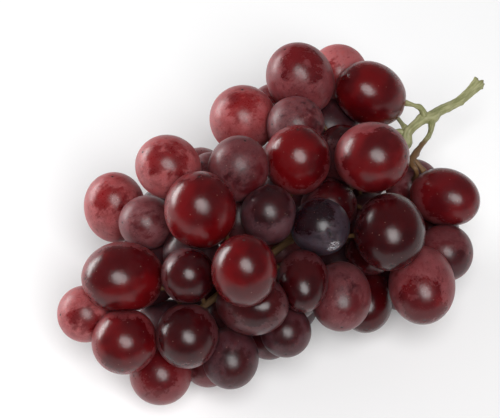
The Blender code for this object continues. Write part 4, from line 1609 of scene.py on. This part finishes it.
@dataclass(frozen=True)
class WoodFinish:
    """Green wood with fine streaks along it, browner at its knots and ends, and painted dark brown inside the
    bunch as painted shade.

    Each Cloud is a pattern, and each Rise says how one of them, or a value of the mesh, changes the look.
    """

    name: str = "green_wood"
    green: Colour = (164, 162, 122)
    shade: Colour = (128, 130, 86)
    knot: Colour = (104, 74, 44)
    cut: Colour = (196, 190, 140)
    streaks: Cloud = Cloud(1.6, 5.0, 0.6)
    streak_stretch: Triple = (1.0, 1.0, 0.16)
    mottle: Cloud = Cloud(0.35)
    fibres: Cloud = Cloud(5.0, 2.0)
    streaked: Rise = Rise(0.35, 0.66)
    mottled: Rise = Rise(0.45, 0.75, 0.0, 0.45)
    brown_mottled: float = 1.1
    browned: Rise = Rise(0.30, 0.85)
    fibrous: Rise = Rise(0.35, 0.65)
    cut_through: Rise = Rise(0.4, 0.8)
    relief: tuple[float, float] = (0.7, 0.3)
    relief_strength: float = 0.6
    relief_height: float = 0.0003
    smoothed: Rise = Rise(0.3, 0.7, 0.62, 0.48)
    bending: float = 1.45
    glow_share: float = 0.15
    glow: Triple = (0.6, 0.8, 0.3)
    glow_length: float = 0.001

    def dress(self) -> bpy.types.Material:
        """Makes the material.

        Returns:
            The material, which reads the wood's own place, brown and cut values.
        """
        nodes = Nodes(self.name)
        place = nodes.attribute("place", "Vector")
        streaks = nodes.noise(nodes.scaled(place, self.streak_stretch), self.streaks)
        mottle = nodes.noise(place, self.mottle)
        fibres = nodes.noise(place, self.fibres)
        colour = nodes.mix(nodes.rise(streaks, self.streaked), paint(self.shade), paint(self.green))
        colour = nodes.mix(nodes.rise(mottle, self.mottled), colour, paint(self.shade))
        brown = nodes.stir(nodes.attribute("brown"), mottle, self.brown_mottled)
        colour = nodes.mix(nodes.rise(brown, self.browned), colour, paint(self.knot))
        end_face = nodes.mix(nodes.rise(fibres, self.fibrous), paint(self.knot), paint(self.cut))
        colour = nodes.mix(nodes.rise(nodes.attribute("cut"), self.cut_through), colour, end_face)
        streak_height, fibre_height = self.relief
        height = nodes.sum("MULTIPLY_ADD", streaks, streak_height, nodes.product(fibres, fibre_height))
        nodes.set(
            Base_Color=colour,
            Roughness=nodes.rise(streaks, self.smoothed),
            Normal=nodes.bump(height, self.relief_strength, self.relief_height),
            IOR=self.bending,
            Subsurface_Weight=self.glow_share,
            Subsurface_Radius=self.glow,
            Subsurface_Scale=self.glow_length,
        )
        return nodes.material


@dataclass(frozen=True)
class TableFinish:
    """A plain pale table top with a faint mottle."""

    name: str = "pale_table"
    pale: Colour = (250, 250, 250)
    shade: Colour = (245, 245, 246)
    mottle: Cloud = Cloud(9.0, 2.0)
    dulled: Rise = Rise(0.3, 0.7, 0.62, 0.7)
    bending: float = 1.4

    def dress(self) -> bpy.types.Material:
        """Makes the material.

        Returns:
            The material.
        """
        nodes = Nodes(self.name)
        place = nodes.tree.nodes.new("ShaderNodeTexCoord").outputs["Object"]
        mottle = nodes.noise(place, self.mottle)
        nodes.set(
            Base_Color=nodes.mix(mottle, paint(self.shade), paint(self.pale)),
            Roughness=nodes.rise(mottle, self.dulled),
            IOR=self.bending,
        )
        return nodes.material


def add_object(name: str, data: bpy.types.ID) -> bpy.types.Object:
    """Adds an object to the scene.

    Args:
        name: The object's name.
        data: Its mesh, light or camera.

    Returns:
        The object.
    """
    added = bpy.data.objects.new(name, data)
    bpy.context.scene.collection.objects.link(added)
    return added


def make_mesh(
    name: str, points: list[np.ndarray], faces: list, values: dict[str, list[np.ndarray]]
) -> bpy.types.Mesh:
    """Makes a smooth mesh that keeps values for each point, for its material to read.

    Args:
        name: The mesh's name.
        points: Its points in metres, in groups.
        faces: Its faces.
        values: The values by name, one or three for each point, in the same groups.

    Returns:
        The mesh.
    """
    mesh = bpy.data.meshes.new(name)
    mesh.from_pydata(np.concatenate(points).tolist(), [], faces)
    for value, groups in values.items():
        rows = np.concatenate(groups)
        wide = rows.ndim == 2
        kept = mesh.attributes.new(value, "FLOAT_VECTOR" if wide else "FLOAT", "POINT")
        kept.data.foreach_set("vector" if wide else "value", rows.astype(np.float32).ravel())
    mesh.shade_smooth()
    return mesh


@dataclass
class BerryShape:
    """The fine shape of a berry: an egg with soft lumps, dimpled at its stalk, pressed flat by others."""

    ball_cuts: int = 5
    shoulder: float = 22.0
    lump_height: float = 0.010
    lumps: int = 5
    lump_waves: tuple[float, float] = (2.0, 5.0)
    beside: Triple = (0.3, 0.9, 0.2)
    dimple_depth: float = 0.05
    dimple_width: float = 0.17
    scar_depth: float = 0.012
    scar_width: float = 0.075
    stain_share: float = 0.8
    slit_depth: float = 0.09
    slit_half: tuple[float, float] = (0.055, 0.15)
    crumbs_width: float = 0.24
    fullness: float = 0.979
    egg: float = 0.02
    draw_offset: float = 400.0
    slit_lean: float = math.radians(32)
    ways: np.ndarray = field(init=False)
    faces: np.ndarray = field(init=False)
    slit_turn: np.ndarray = field(init=False)

    def __post_init__(self) -> None:
        """Makes the ball of directions that each berry is shaped from."""
        cosine, sine = math.cos(self.slit_lean), math.sin(self.slit_lean)
        self.slit_turn = np.array([[cosine, -sine], [sine, cosine]])
        bm = bmesh.new()
        bmesh.ops.create_icosphere(bm, subdivisions=self.ball_cuts, radius=1.0)
        bm.verts.ensure_lookup_table()
        self.ways = np.array([vert.co for vert in bm.verts])
        self.ways /= np.linalg.norm(self.ways, axis=1)[:, None]
        self.faces = np.array([[vert.index for vert in face.verts] for face in bm.faces])
        bm.free()

    def lumpiness(self, ways: np.ndarray, draw: np.random.Generator) -> np.ndarray:
        """Finds how much the skin swells in each direction.

        Args:
            ways: The directions, one a row.
            draw: The chances of its lumps.

        Returns:
            The swelling, as a share of the radius.
        """
        swell = np.zeros(len(ways))
        for _ in range(self.lumps):
            crest = unit(draw.normal(size=3))
            swell += np.sin(ways @ crest * draw.uniform(*self.lump_waves) + draw.uniform(0, 2 * math.pi))
        return swell * self.lump_height / self.lumps

    def slit(self, look: BerryLook, outward: np.ndarray) -> np.ndarray:
        """Finds how deep the split in a blossom scar is in each direction.

        Args:
            look: The berry's look.
            outward: The directions, one a row.

        Returns:
            The shares of its depth, all nothing where the scar is whole.
        """
        if look.slit is None:
            return np.zeros(len(outward))
        apart = outward - SIDE.facing(look.slit)
        spot = np.stack([apart @ SIDE.across, apart @ SIDE.up], axis=1) @ self.slit_turn
        return np.exp(-np.sum((spot / self.slit_half) ** 2, axis=1) - np.sum(apart**2, axis=1))

    def crumbs(self, look: BerryLook, outward: np.ndarray) -> np.ndarray:
        """Finds how thick white crumbs of wax cling in each direction.

        Args:
            look: The berry's look.
            outward: The directions, one a row.

        Returns:
            The shares, all nothing where the berry has no crumbs.
        """
        if look.crumbs is None:
            return np.zeros(len(outward))
        turned = np.arccos(np.clip(outward @ SIDE.facing(look.crumbs), -1, 1))
        return np.exp(-((turned / self.crumbs_width) ** 2))

    def points(
        self, berry: Berry, flats: Sequence[tuple[np.ndarray, float]], draw: np.random.Generator
    ) -> tuple[np.ndarray, dict[str, np.ndarray]]:
        """Shapes a berry.

        Args:
            berry: The berry.
            flats: The ways that it is pressed from, each with the room there.
            draw: The chances of its lumps.

        Returns:
            Its points in the layout, and its skin's values at each.
        """
        side = unit(np.cross(berry.along, self.beside))
        axes = np.array([side, np.cross(berry.along, side), berry.along])
        local = self.ways * [berry.half_width, berry.half_width, berry.half_length]
        local[:, :2] *= (1 + self.egg * self.ways[:, 2])[:, None]
        swell = self.fullness * berry.look.full + self.lumpiness(self.ways, draw)
        offsets = (local @ axes) * swell[:, None]

        outward = offsets / np.linalg.norm(offsets, axis=1)[:, None]
        from_stalk = np.arccos(np.clip(outward @ berry.stalk_way, -1, 1)) / self.dimple_width
        from_scar = np.arccos(np.clip(self.ways[:, 2], -1, 1)) / self.scar_width
        slit = self.slit(berry.look, outward)
        sunk = 1 - self.dimple_depth * np.exp(-(from_stalk**2)) - self.scar_depth * np.exp(-(from_scar**2))
        offsets *= (sunk - self.slit_depth * slit)[:, None]

        crush = np.ones(len(offsets))
        for way, room in flats:
            crush += (np.maximum(0.0, offsets @ way) / room) ** self.shoulder
        offsets *= (crush ** (-1 / self.shoulder))[:, None]

        turned = berry.look.turned
        proud = berry.along if turned is None else SIDE.facing(turned)
        values = {
            "place": offsets @ axes.T + draw.uniform(-self.draw_offset, self.draw_offset, 3),
            # exposure: how squarely the skin faces the proud spot; it bounds the rubbed patch and also sets
            # the painted rim sheen
            "exposure": outward @ proud,
            "bloom": np.full(len(offsets), berry.look.bloom),
            "rubbed": np.full(len(offsets), berry.look.rubbed),
            "scar": np.maximum(np.exp(-((from_scar / self.stain_share) ** 4)), slit),
            "crumbs": self.crumbs(berry.look, outward),
        }
        return berry.middle + offsets, values


@dataclass
class Spray:
    """One spray of berries, as one piece."""

    node: str
    numbers: Sequence[int]
    bunch: Bunch
    shape: BerryShape
    skins: dict[SkinTone, bpy.types.Material]
    seed: int = 5
    snug: float = 1.022
    twig_gap: float = 0.1
    beside_stalk: float = 0.9

    def flats(self, number: int) -> list[tuple[np.ndarray, float]]:
        """Finds what a berry is pressed flat against: its neighbours, wood and the table.

        Args:
            number: The berry.

        Returns:
            The way to each, and the room on that side.
        """
        berry = self.bunch.berries[number]
        found = []
        for other in self.bunch.berries:
            if other is berry:
                continue
            way = unit(other.middle - berry.middle)
            deep = pressed(berry, other)
            if deep > 0:
                found.append((way, (berry.reach(way) - deep / 2) * self.snug))
        for twig in self.bunch.twigs:
            for start, end, thick, thin in zip(twig.points, twig.points[1:], twig.radii, twig.radii[1:]):
                offset = nearest_on(berry.middle[None], start, end)[0] - berry.middle
                apart = float(np.linalg.norm(offset))
                room = apart - max(thick, thin) - self.twig_gap
                way = offset / apart
                if room < berry.reach(way) and way @ berry.stalk_way < self.beside_stalk:
                    found.append((way, room))
        if berry.middle[2] < berry.reach(DOWN):
            found.append((DOWN, float(berry.middle[2])))
        return found

    def build(self) -> bpy.types.Object:
        """Builds the spray.

        Returns:
            The piece, dressed.
        """
        points, faces, tones = [], [], []
        values: dict[str, list[np.ndarray]] = {}
        palette: list[SkinTone] = []
        for number in self.numbers:
            berry = self.bunch.berries[number]
            draw = np.random.default_rng((self.seed, number))
            shaped, found = self.shape.points(berry, self.flats(number), draw)
            faces.append(self.shape.faces + len(self.shape.ways) * len(points))
            points.append(SIDE.placed(shaped))
            for name, rows in found.items():
                values.setdefault(name, []).append(rows)
            if berry.look.tone not in palette:
                palette.append(berry.look.tone)
            tones.append(np.full(len(self.shape.faces), palette.index(berry.look.tone)))
        mesh = make_mesh(self.node, points, np.concatenate(faces).tolist(), values)
        mesh.polygons.foreach_set("material_index", np.concatenate(tones).astype(np.int32))
        for tone in palette:
            mesh.materials.append(self.skins[tone])
        piece = add_object(self.node.replace("berries", "spray"), mesh)
        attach(piece, BODY)
        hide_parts(self.node)
        return piece


@dataclass
class Stem:
    """The stem: the stalk with its flared cut end, the axis, its branches and every berry's own stalk.

    The end sizes shape the cut end. Each wave of the flutes and steps round it is how often it rises on the
    way round, its height, and the number of the phase that it starts at.
    """

    bunch: Bunch
    wood: bpy.types.Material
    node: str = "stem"
    seed: int = 23
    step: float = 0.8
    stalk_sides: int = 28
    twig_sides: int = 12
    thick: float = 1.08
    ridges: int = 5
    ridge_height: float = 0.05
    ridge_twist: float = 0.03
    lumps: int = 3
    lump_height: float = 0.04
    lump_waves: tuple[float, float] = (0.9, 1.3)
    knot_every: float = 6.0
    knot_drift: float = 2.0
    knot_height: float = 0.35
    knot_half: float = 0.7
    collar: float = 0.55
    collar_at: float = 1.6
    collar_half: float = 1.5
    into_berry: float = 0.9
    end_length: float = 1.2
    end_flutes: Waves = ((4, 0.10, 3), (9, 0.08, 1))
    end_slip: float = 0.7
    end_steps: Waves = ((3, 0.4, 2), (7, 0.3, 0))
    end_cut: float = 0.6
    end_rims: Spots = ((0.78, 0.35), (0.45, 0.75))
    end_heart: float = 0.45
    end_brown: float = 0.4
    end_grain: tuple[float, float] = (1.0, 0.5)
    # The stalk's brown: real browning at the cut end, and painted shade rising to dark brown along the axis
    # in the core
    stalk_brown_and_shade: Spots = ((0, 4, 20, 44, 62), (0.35, 0.0, 0.1, 0.35, 1.4))
    shown_brown: Spots = ((0, 5, 9, 13, 20), (0.15, 0.2, 0.3, 0.5, 0.95))
    # painted shade: the hidden twigs inside the bunch are painted dark brown
    inner_painted_shade: float = 1.3
    berry_end_brown: float = 0.1
    berry_end: float = 1.6
    grain_radius: float = 1.5
    draw_offset: float = 50.0

    def run(self, twig: Twig) -> tuple[np.ndarray, np.ndarray]:
        """Draws a smooth run through a twig's points.

        Args:
            twig: The twig.

        Returns:
            Points a step apart, and the radius at each.
        """
        points = np.array(twig.points)
        radii = np.array(twig.radii)
        if twig.ends_at_berry:
            points[-1] += unit(points[-1] - points[-2]) * self.into_berry
        lengths = np.linalg.norm(np.diff(points, axis=0), axis=1)
        keep = np.concatenate([[True], lengths > TINY])
        points, radii = points[keep], radii[keep]
        ends = [2 * points[0] - points[1], *points, 2 * points[-1] - points[-2]]
        found, thick = [], []
        for index in range(len(points) - 1):
            before, start, end, after = ends[index : index + 4]
            count = max(2, math.ceil(float(np.linalg.norm(end - start)) / self.step))
            share = np.arange(count)[:, None] / count
            found.append(self.catmull(before, start, end, after, share))
            eased = share[:, 0] ** 2 * (3 - 2 * share[:, 0])
            thick.append(radii[index] + (radii[index + 1] - radii[index]) * eased)
        return np.concatenate([*found, points[-1:]]), np.concatenate([*thick, radii[-1:]])

    def catmull(
        self, before: np.ndarray, start: np.ndarray, end: np.ndarray, after: np.ndarray, share: np.ndarray
    ) -> np.ndarray:
        """Bends the stretch between two points, so that it runs on from the ones before and after it.

        Args:
            before: The point before the stretch.
            start: Where it starts.
            end: Where it ends.
            after: The point after it.
            share: How far along it each new point lies, one a row.

        Returns:
            The new points.
        """
        run = float(np.linalg.norm(end - start))
        leave = (end - before) / max(TINY, float(np.linalg.norm(end - before))) * run
        arrive = (after - start) / max(TINY, float(np.linalg.norm(after - start))) * run
        squared, cubed = share**2, share**3
        return (
            (2 * cubed - 3 * squared + 1) * start
            + (cubed - 2 * squared + share) * leave
            + (3 * squared - 2 * cubed) * end
            + (cubed - squared) * arrive
        )

    def frames(self, points: np.ndarray) -> tuple[np.ndarray, np.ndarray, np.ndarray]:
        """Finds the way along a run and two directions square to it at each point, without twisting.

        Args:
            points: The run's points.

        Returns:
            The ways along it, and the first and the second direction across it.
        """
        ways = np.gradient(points, axis=0)
        ways /= np.linalg.norm(ways, axis=1)[:, None]
        side = np.array(Vector(ways[0]).orthogonal().normalized())
        sides = []
        for way in ways:
            side = unit(side - (side @ way) * way)
            sides.append(side)
        return ways, np.array(sides), np.cross(ways, np.array(sides))

    def waves(self, rows: Waves, turns: np.ndarray, phases: np.ndarray) -> np.ndarray:
        """Adds up waves round the wood.

        Args:
            rows: For each wave, how often it rises on the way round, its height and the number of its phase.
            turns: How far round each point is.
            phases: Where waves start.

        Returns:
            The height at each point.
        """
        return sum(height * np.sin(count * turns + phases[phase]) for count, height, phase in rows)

    def bark(
        self, travelled: np.ndarray, turns: np.ndarray, phases: np.ndarray, draw: np.random.Generator
    ) -> np.ndarray:
        """Finds how far the bark stands out, with ridges along it, lumps and knots.

        Args:
            travelled: How far along the twig each ring is.
            turns: How far round each point of a ring is.
            phases: Where waves start.
            draw: The chances of its knots.

        Returns:
            The share of the radius at each point, ring by ring.
        """
        along = travelled[:, None]
        ridges = np.sin(self.ridges * turns + phases[0] + self.ridge_twist * along)
        lumps = np.sin(self.lumps * turns + phases[1] + self.lump_waves[0] * along)
        lumps = lumps * np.sin(self.lump_waves[1] * along + phases[2])
        out = 1 + ridges * self.ridge_height + lumps * self.lump_height
        drift = draw.uniform(-self.knot_drift, self.knot_drift)
        for knot in np.arange(self.knot_every, travelled[-1], self.knot_every) + drift:
            facing = np.maximum(0, np.cos(turns - draw.uniform(0, 2 * math.pi))) ** 2
            out *= 1 + self.knot_height * np.exp(-(((along - knot) / self.knot_half) ** 2)) * facing
        return out

    def brown(self, twig: Twig, travelled: np.ndarray) -> np.ndarray:
        """Finds how brown a twig is: browner at the stalk's cut end, and dark brown as painted shade along
        the axis in the core and on the hidden twigs.

        Args:
            twig: The twig.
            travelled: How far along it each ring is.

        Returns:
            The brown of each ring.
        """
        if twig.is_stalk:
            # browner at the cut end, and dark brown in the core as painted shade
            return np.interp(travelled, *self.stalk_brown_and_shade)
        if twig.in_view:
            return np.interp(travelled, *self.shown_brown)
        at_berry = np.exp(-(((travelled[-1] - travelled) / self.berry_end) ** 2)) * twig.ends_at_berry
        # painted shade: hidden twigs are dark brown throughout
        return self.inner_painted_shade + self.berry_end_brown * at_berry

    def tube(self, twig: Twig, draw: np.random.Generator) -> tuple[np.ndarray, list, dict[str, np.ndarray]]:
        """Shapes a twig as a closed tube. The stalk's cut end is fluted and torn, and others have a collar.

        Args:
            twig: The twig.
            draw: The chances of its lumps.

        Returns:
            Its points in the layout, its faces, and the wood's values at each point.
        """
        sides = self.stalk_sides if twig.is_stalk else self.twig_sides
        points, radii = self.run(twig)
        ways, first, second = self.frames(points)
        turns = np.linspace(0, 2 * math.pi, sides, endpoint=False)
        round_it = np.stack([np.cos(turns), np.sin(turns)], axis=1)
        travelled = np.concatenate([[0], np.cumsum(np.linalg.norm(np.diff(points, axis=0), axis=1))])
        phases = draw.uniform(0, 2 * math.pi, 4)
        wide = radii[:, None] * self.bark(travelled, turns, phases, draw)
        slip = np.zeros_like(wide)
        cut = np.zeros_like(wide)
        if twig.is_stalk:
            near = np.exp(-((travelled / self.end_length) ** 2))[:, None]
            wide *= self.thick * (1 + near * self.waves(self.end_flutes, turns, phases))
            slip = near * (self.end_slip + self.waves(self.end_steps, turns, phases))
            cut[0] = self.end_cut
        else:
            near = np.exp(-(((travelled - self.collar_at) / self.collar_half) ** 2))[:, None]
            wide *= 1 + self.collar * near
        ring = round_it[:, :1] * first[:, None] + round_it[:, 1:] * second[:, None]
        skin = points[:, None] + wide[..., None] * ring + slip[..., None] * ways[:, None]
        place = np.zeros_like(skin)
        place[..., :2] = round_it * self.grain_radius
        place[..., 2] = travelled[:, None]
        values = {
            "place": place.reshape(-1, 3) + draw.uniform(-self.draw_offset, self.draw_offset, 3),
            "brown": np.repeat(self.brown(twig, travelled), sides),
            "cut": cut.ravel(),
        }
        faces = self.wall_faces(len(points), sides)
        return self.capped(skin.reshape(-1, 3), faces, values, sides, twig.is_stalk)

    def wall_faces(self, rings: int, sides: int) -> list[tuple[int, ...]]:
        """Lists the faces between the rings of a tube.

        Args:
            rings: How many rings there are.
            sides: How many points a ring has.

        Returns:
            The faces.
        """
        faces = []
        for low in range(0, (rings - 1) * sides, sides):
            for step in range(sides):
                after = (step + 1) % sides
                faces.append((low + step, low + after, low + sides + after, low + sides + step))
        return faces

    def capped(
        self, verts: np.ndarray, faces: list, values: dict[str, np.ndarray], sides: int, hollow: bool
    ) -> tuple[np.ndarray, list, dict[str, np.ndarray]]:
        """Closes both ends of a tube, the first with a sunken, fibrous face where it was cut.

        Args:
            verts: The tube's points, ring by ring.
            faces: Its faces, added to.
            values: The wood's values.
            sides: How many points a ring has.
            hollow: Whether the first end was cut.

        Returns:
            The points, faces and values with the ends.
        """
        count = len(verts)
        last_face = tuple(range(count - sides, count))
        if not hollow:
            faces += [tuple(range(sides))[::-1], last_face]
            return verts, faces, values
        rim = verts[:sides]
        heart = rim.mean(axis=0)
        inward = unit(verts[sides : 2 * sides].mean(axis=0) - heart)
        rims = [heart + (rim - heart) * share + inward * deep for share, deep in self.end_rims]
        added = np.concatenate([*rims, (heart + inward * self.end_heart)[None]])
        starts = [0, *range(count, count + len(rims) * sides, sides)]
        centre = count + len(rims) * sides
        for outer, inner in zip(starts, starts[1:]):
            for step in range(sides):
                after = (step + 1) % sides
                faces.append((outer + after, outer + step, inner + step, inner + after))
        faces += [(starts[-1] + (step + 1) % sides, starts[-1] + step, centre) for step in range(sides)]
        faces.append(last_face)
        place = values["place"]
        grain = [place[:sides] * share for share in self.end_grain]
        values["place"] = np.concatenate([place, *grain, place[:1]])
        values["brown"] = np.concatenate([values["brown"], np.full(len(added), self.end_brown)])
        values["cut"] = np.concatenate([values["cut"], np.ones(len(added))])
        return np.concatenate([verts, added]), faces, values

    def build(self) -> bpy.types.Object:
        """Builds the stem.

        Returns:
            The piece, dressed.
        """
        points, faces = [], []
        values: dict[str, list[np.ndarray]] = {}
        count = 0
        for number, twig in enumerate(self.bunch.twigs):
            found, walls, rows = self.tube(twig, np.random.default_rng((self.seed, number)))
            points.append(SIDE.placed(found))
            faces += [tuple(index + count for index in face) for face in walls]
            count += len(found)
            for name, row in rows.items():
                values.setdefault(name, []).append(row)
        mesh = make_mesh(self.node, points, faces, values)
        mesh.materials.append(self.wood)
        piece = add_object("stem_wood", mesh)
        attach(piece, BODY)
        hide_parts(self.node)
        return piece


@dataclass
class HiddenLooks:
    """Draws the looks of the berries that the known side doesn't show. Those not far behind the heart, as
    seen from the known side, show only in the shaded gaps and get dark tones as painted shade.
    """

    seed: int = 41
    tones: tuple[SkinTone, ...] = tuple(SkinTone)
    shares: tuple[float, ...] = (0.18, 0.24, 0.18, 0.06, 0.14, 0.16, 0.04)
    bloom: tuple[float, float] = (0.35, 0.8)
    rubbed: tuple[float, float] = (0.45, 0.85)
    # painted shade: hidden berries not far behind the heart get only dark tones
    painted_shade_from: float = -18.0
    painted_shade_tones: tuple[SkinTone, SkinTone] = (SkinTone.GARNET, SkinTone.PLUM)

    def dress(self, berries: Sequence[Berry]) -> None:
        """Gives each berry that has no look one of its own.

        Args:
            berries: All the berries.
        """
        draw = np.random.default_rng(self.seed)
        for berry in berries:
            if berry.look is None:
                tone = self.tones[int(draw.choice(len(self.tones), p=self.shares))]
                # painted shade: berries that show in the gaps are given a dark tone
                if (berry.middle - np.array(SIDE.heart)) @ SIDE.toward > self.painted_shade_from:
                    tone = self.painted_shade_tones[int(draw.integers(len(self.painted_shade_tones)))]
                berry.look = BerryLook(tone, draw.uniform(*self.bloom), draw.uniform(*self.rubbed), None)


@dataclass
class Lamp:
    """A soft oval light, by the direction from the heart that it stands in."""

    name: str
    across: float
    up: float
    toward: float
    distance: float
    width: float
    height: float
    power: float
    roll: float = 0.0
    colour: Triple = (1.0, 1.0, 1.0)

    def place(self, heart: np.ndarray) -> None:
        """Sets up the lamp, turned to the heart.

        Args:
            heart: The heart of the bunch, in metres.
        """
        way = unit(self.across * SIDE.across + self.up * SIDE.up + self.toward * SIDE.toward)
        data = bpy.data.lights.new(self.name, "AREA")
        data.shape = "ELLIPSE"
        data.size = self.width
        data.size_y = self.height
        data.energy = self.power
        data.color = self.colour
        lamp = add_object(self.name, data)
        lamp.location = heart + way * self.distance
        lamp.rotation_euler = Vector(way).to_track_quat("Z", "Y").to_euler()
        lamp.rotation_euler.rotate_axis("Z", self.roll)


@dataclass
class Studio:
    """The table, the soft lights and the camera."""

    table_half: float = 6.0
    picture_width: float = 0.165
    shift: tuple[float, float] = (-0.04, 0.03)
    sensor: float = 36.0
    nearest: float = 0.01
    sky: float = 0.17
    lamps: tuple[Lamp, ...] = (
        Lamp("front_softbox", 0.14, 0.05, 1.0, 1.2, 0.66, 0.95, 15.0, math.radians(35)),
        Lamp("left_window", -0.9, 0.42, -0.1, 0.9, 0.32, 0.8, 9.5, math.radians(60)),
    )

    def table(self) -> bpy.types.Object:
        """Lays the table under the bunch.

        Returns:
            The table.
        """
        half = self.table_half
        corners = [(-half, -half, 0), (half, -half, 0), (half, half, 0), (-half, half, 0)]
        mesh = bpy.data.meshes.new("table")
        mesh.from_pydata(corners, [], [(0, 1, 2, 3)])
        mesh.materials.append(TableFinish().dress())
        table = add_object("table", mesh)
        return table

    def camera(self, heart: np.ndarray) -> None:
        """Sets up the camera on the known side, with the heart where the picture has it.

        Args:
            heart: The heart of the bunch, in metres.
        """
        data = bpy.data.cameras.new("camera")
        data.sensor_fit = "HORIZONTAL"
        data.sensor_width = self.sensor
        data.lens = self.sensor * SIDE.distance * MM / self.picture_width
        data.shift_x, data.shift_y = self.shift
        data.clip_start = self.nearest
        camera = add_object("camera", data)
        camera.location = heart + SIDE.toward * SIDE.distance * MM
        camera.rotation_euler = Vector(SIDE.toward).to_track_quat("Z", "Y").to_euler()
        bpy.context.scene.camera = camera

    def build(self) -> None:
        """Builds the studio."""
        heart = SIDE.placed(np.array(SIDE.heart))
        self.table()
        self.camera(heart)
        for lamp in self.lamps:
            lamp.place(heart)
        world = bpy.data.worlds.new("studio")
        world.use_nodes = True
        sky = world.node_tree.nodes["Background"]
        sky.inputs["Color"].default_value = (1.0, 1.0, 1.0, 1.0)
        sky.inputs["Strength"].default_value = self.sky
        bpy.context.scene.world = world
        bpy.context.scene.view_settings.view_transform = "Standard"


def main() -> None:
    """Builds the whole picture."""
    logging.basicConfig(level=logging.INFO, format="%(name)s: %(message)s")
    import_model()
    bunch = Bunch()
    bunch.grow()
    HiddenLooks().dress(bunch.berries)
    LOG.info("%d berries and %d twigs", len(bunch.berries), len(bunch.twigs))
    skins = {finish.tone: finish.dress() for finish in SKINS}
    shape = BerryShape()
    for node, numbers in bunch.sprays.items():
        piece = Spray(node, numbers, bunch, shape, skins).build()
        LOG.info("%s: %d berries, %d faces", piece.name, len(numbers), len(piece.data.polygons))
    stem = Stem(bunch, WoodFinish().dress()).build()
    LOG.info("%s: %d faces", stem.name, len(stem.data.polygons))
    Studio().build()
    bpy.context.view_layer.update()


if __name__ == "__main__":
    main()
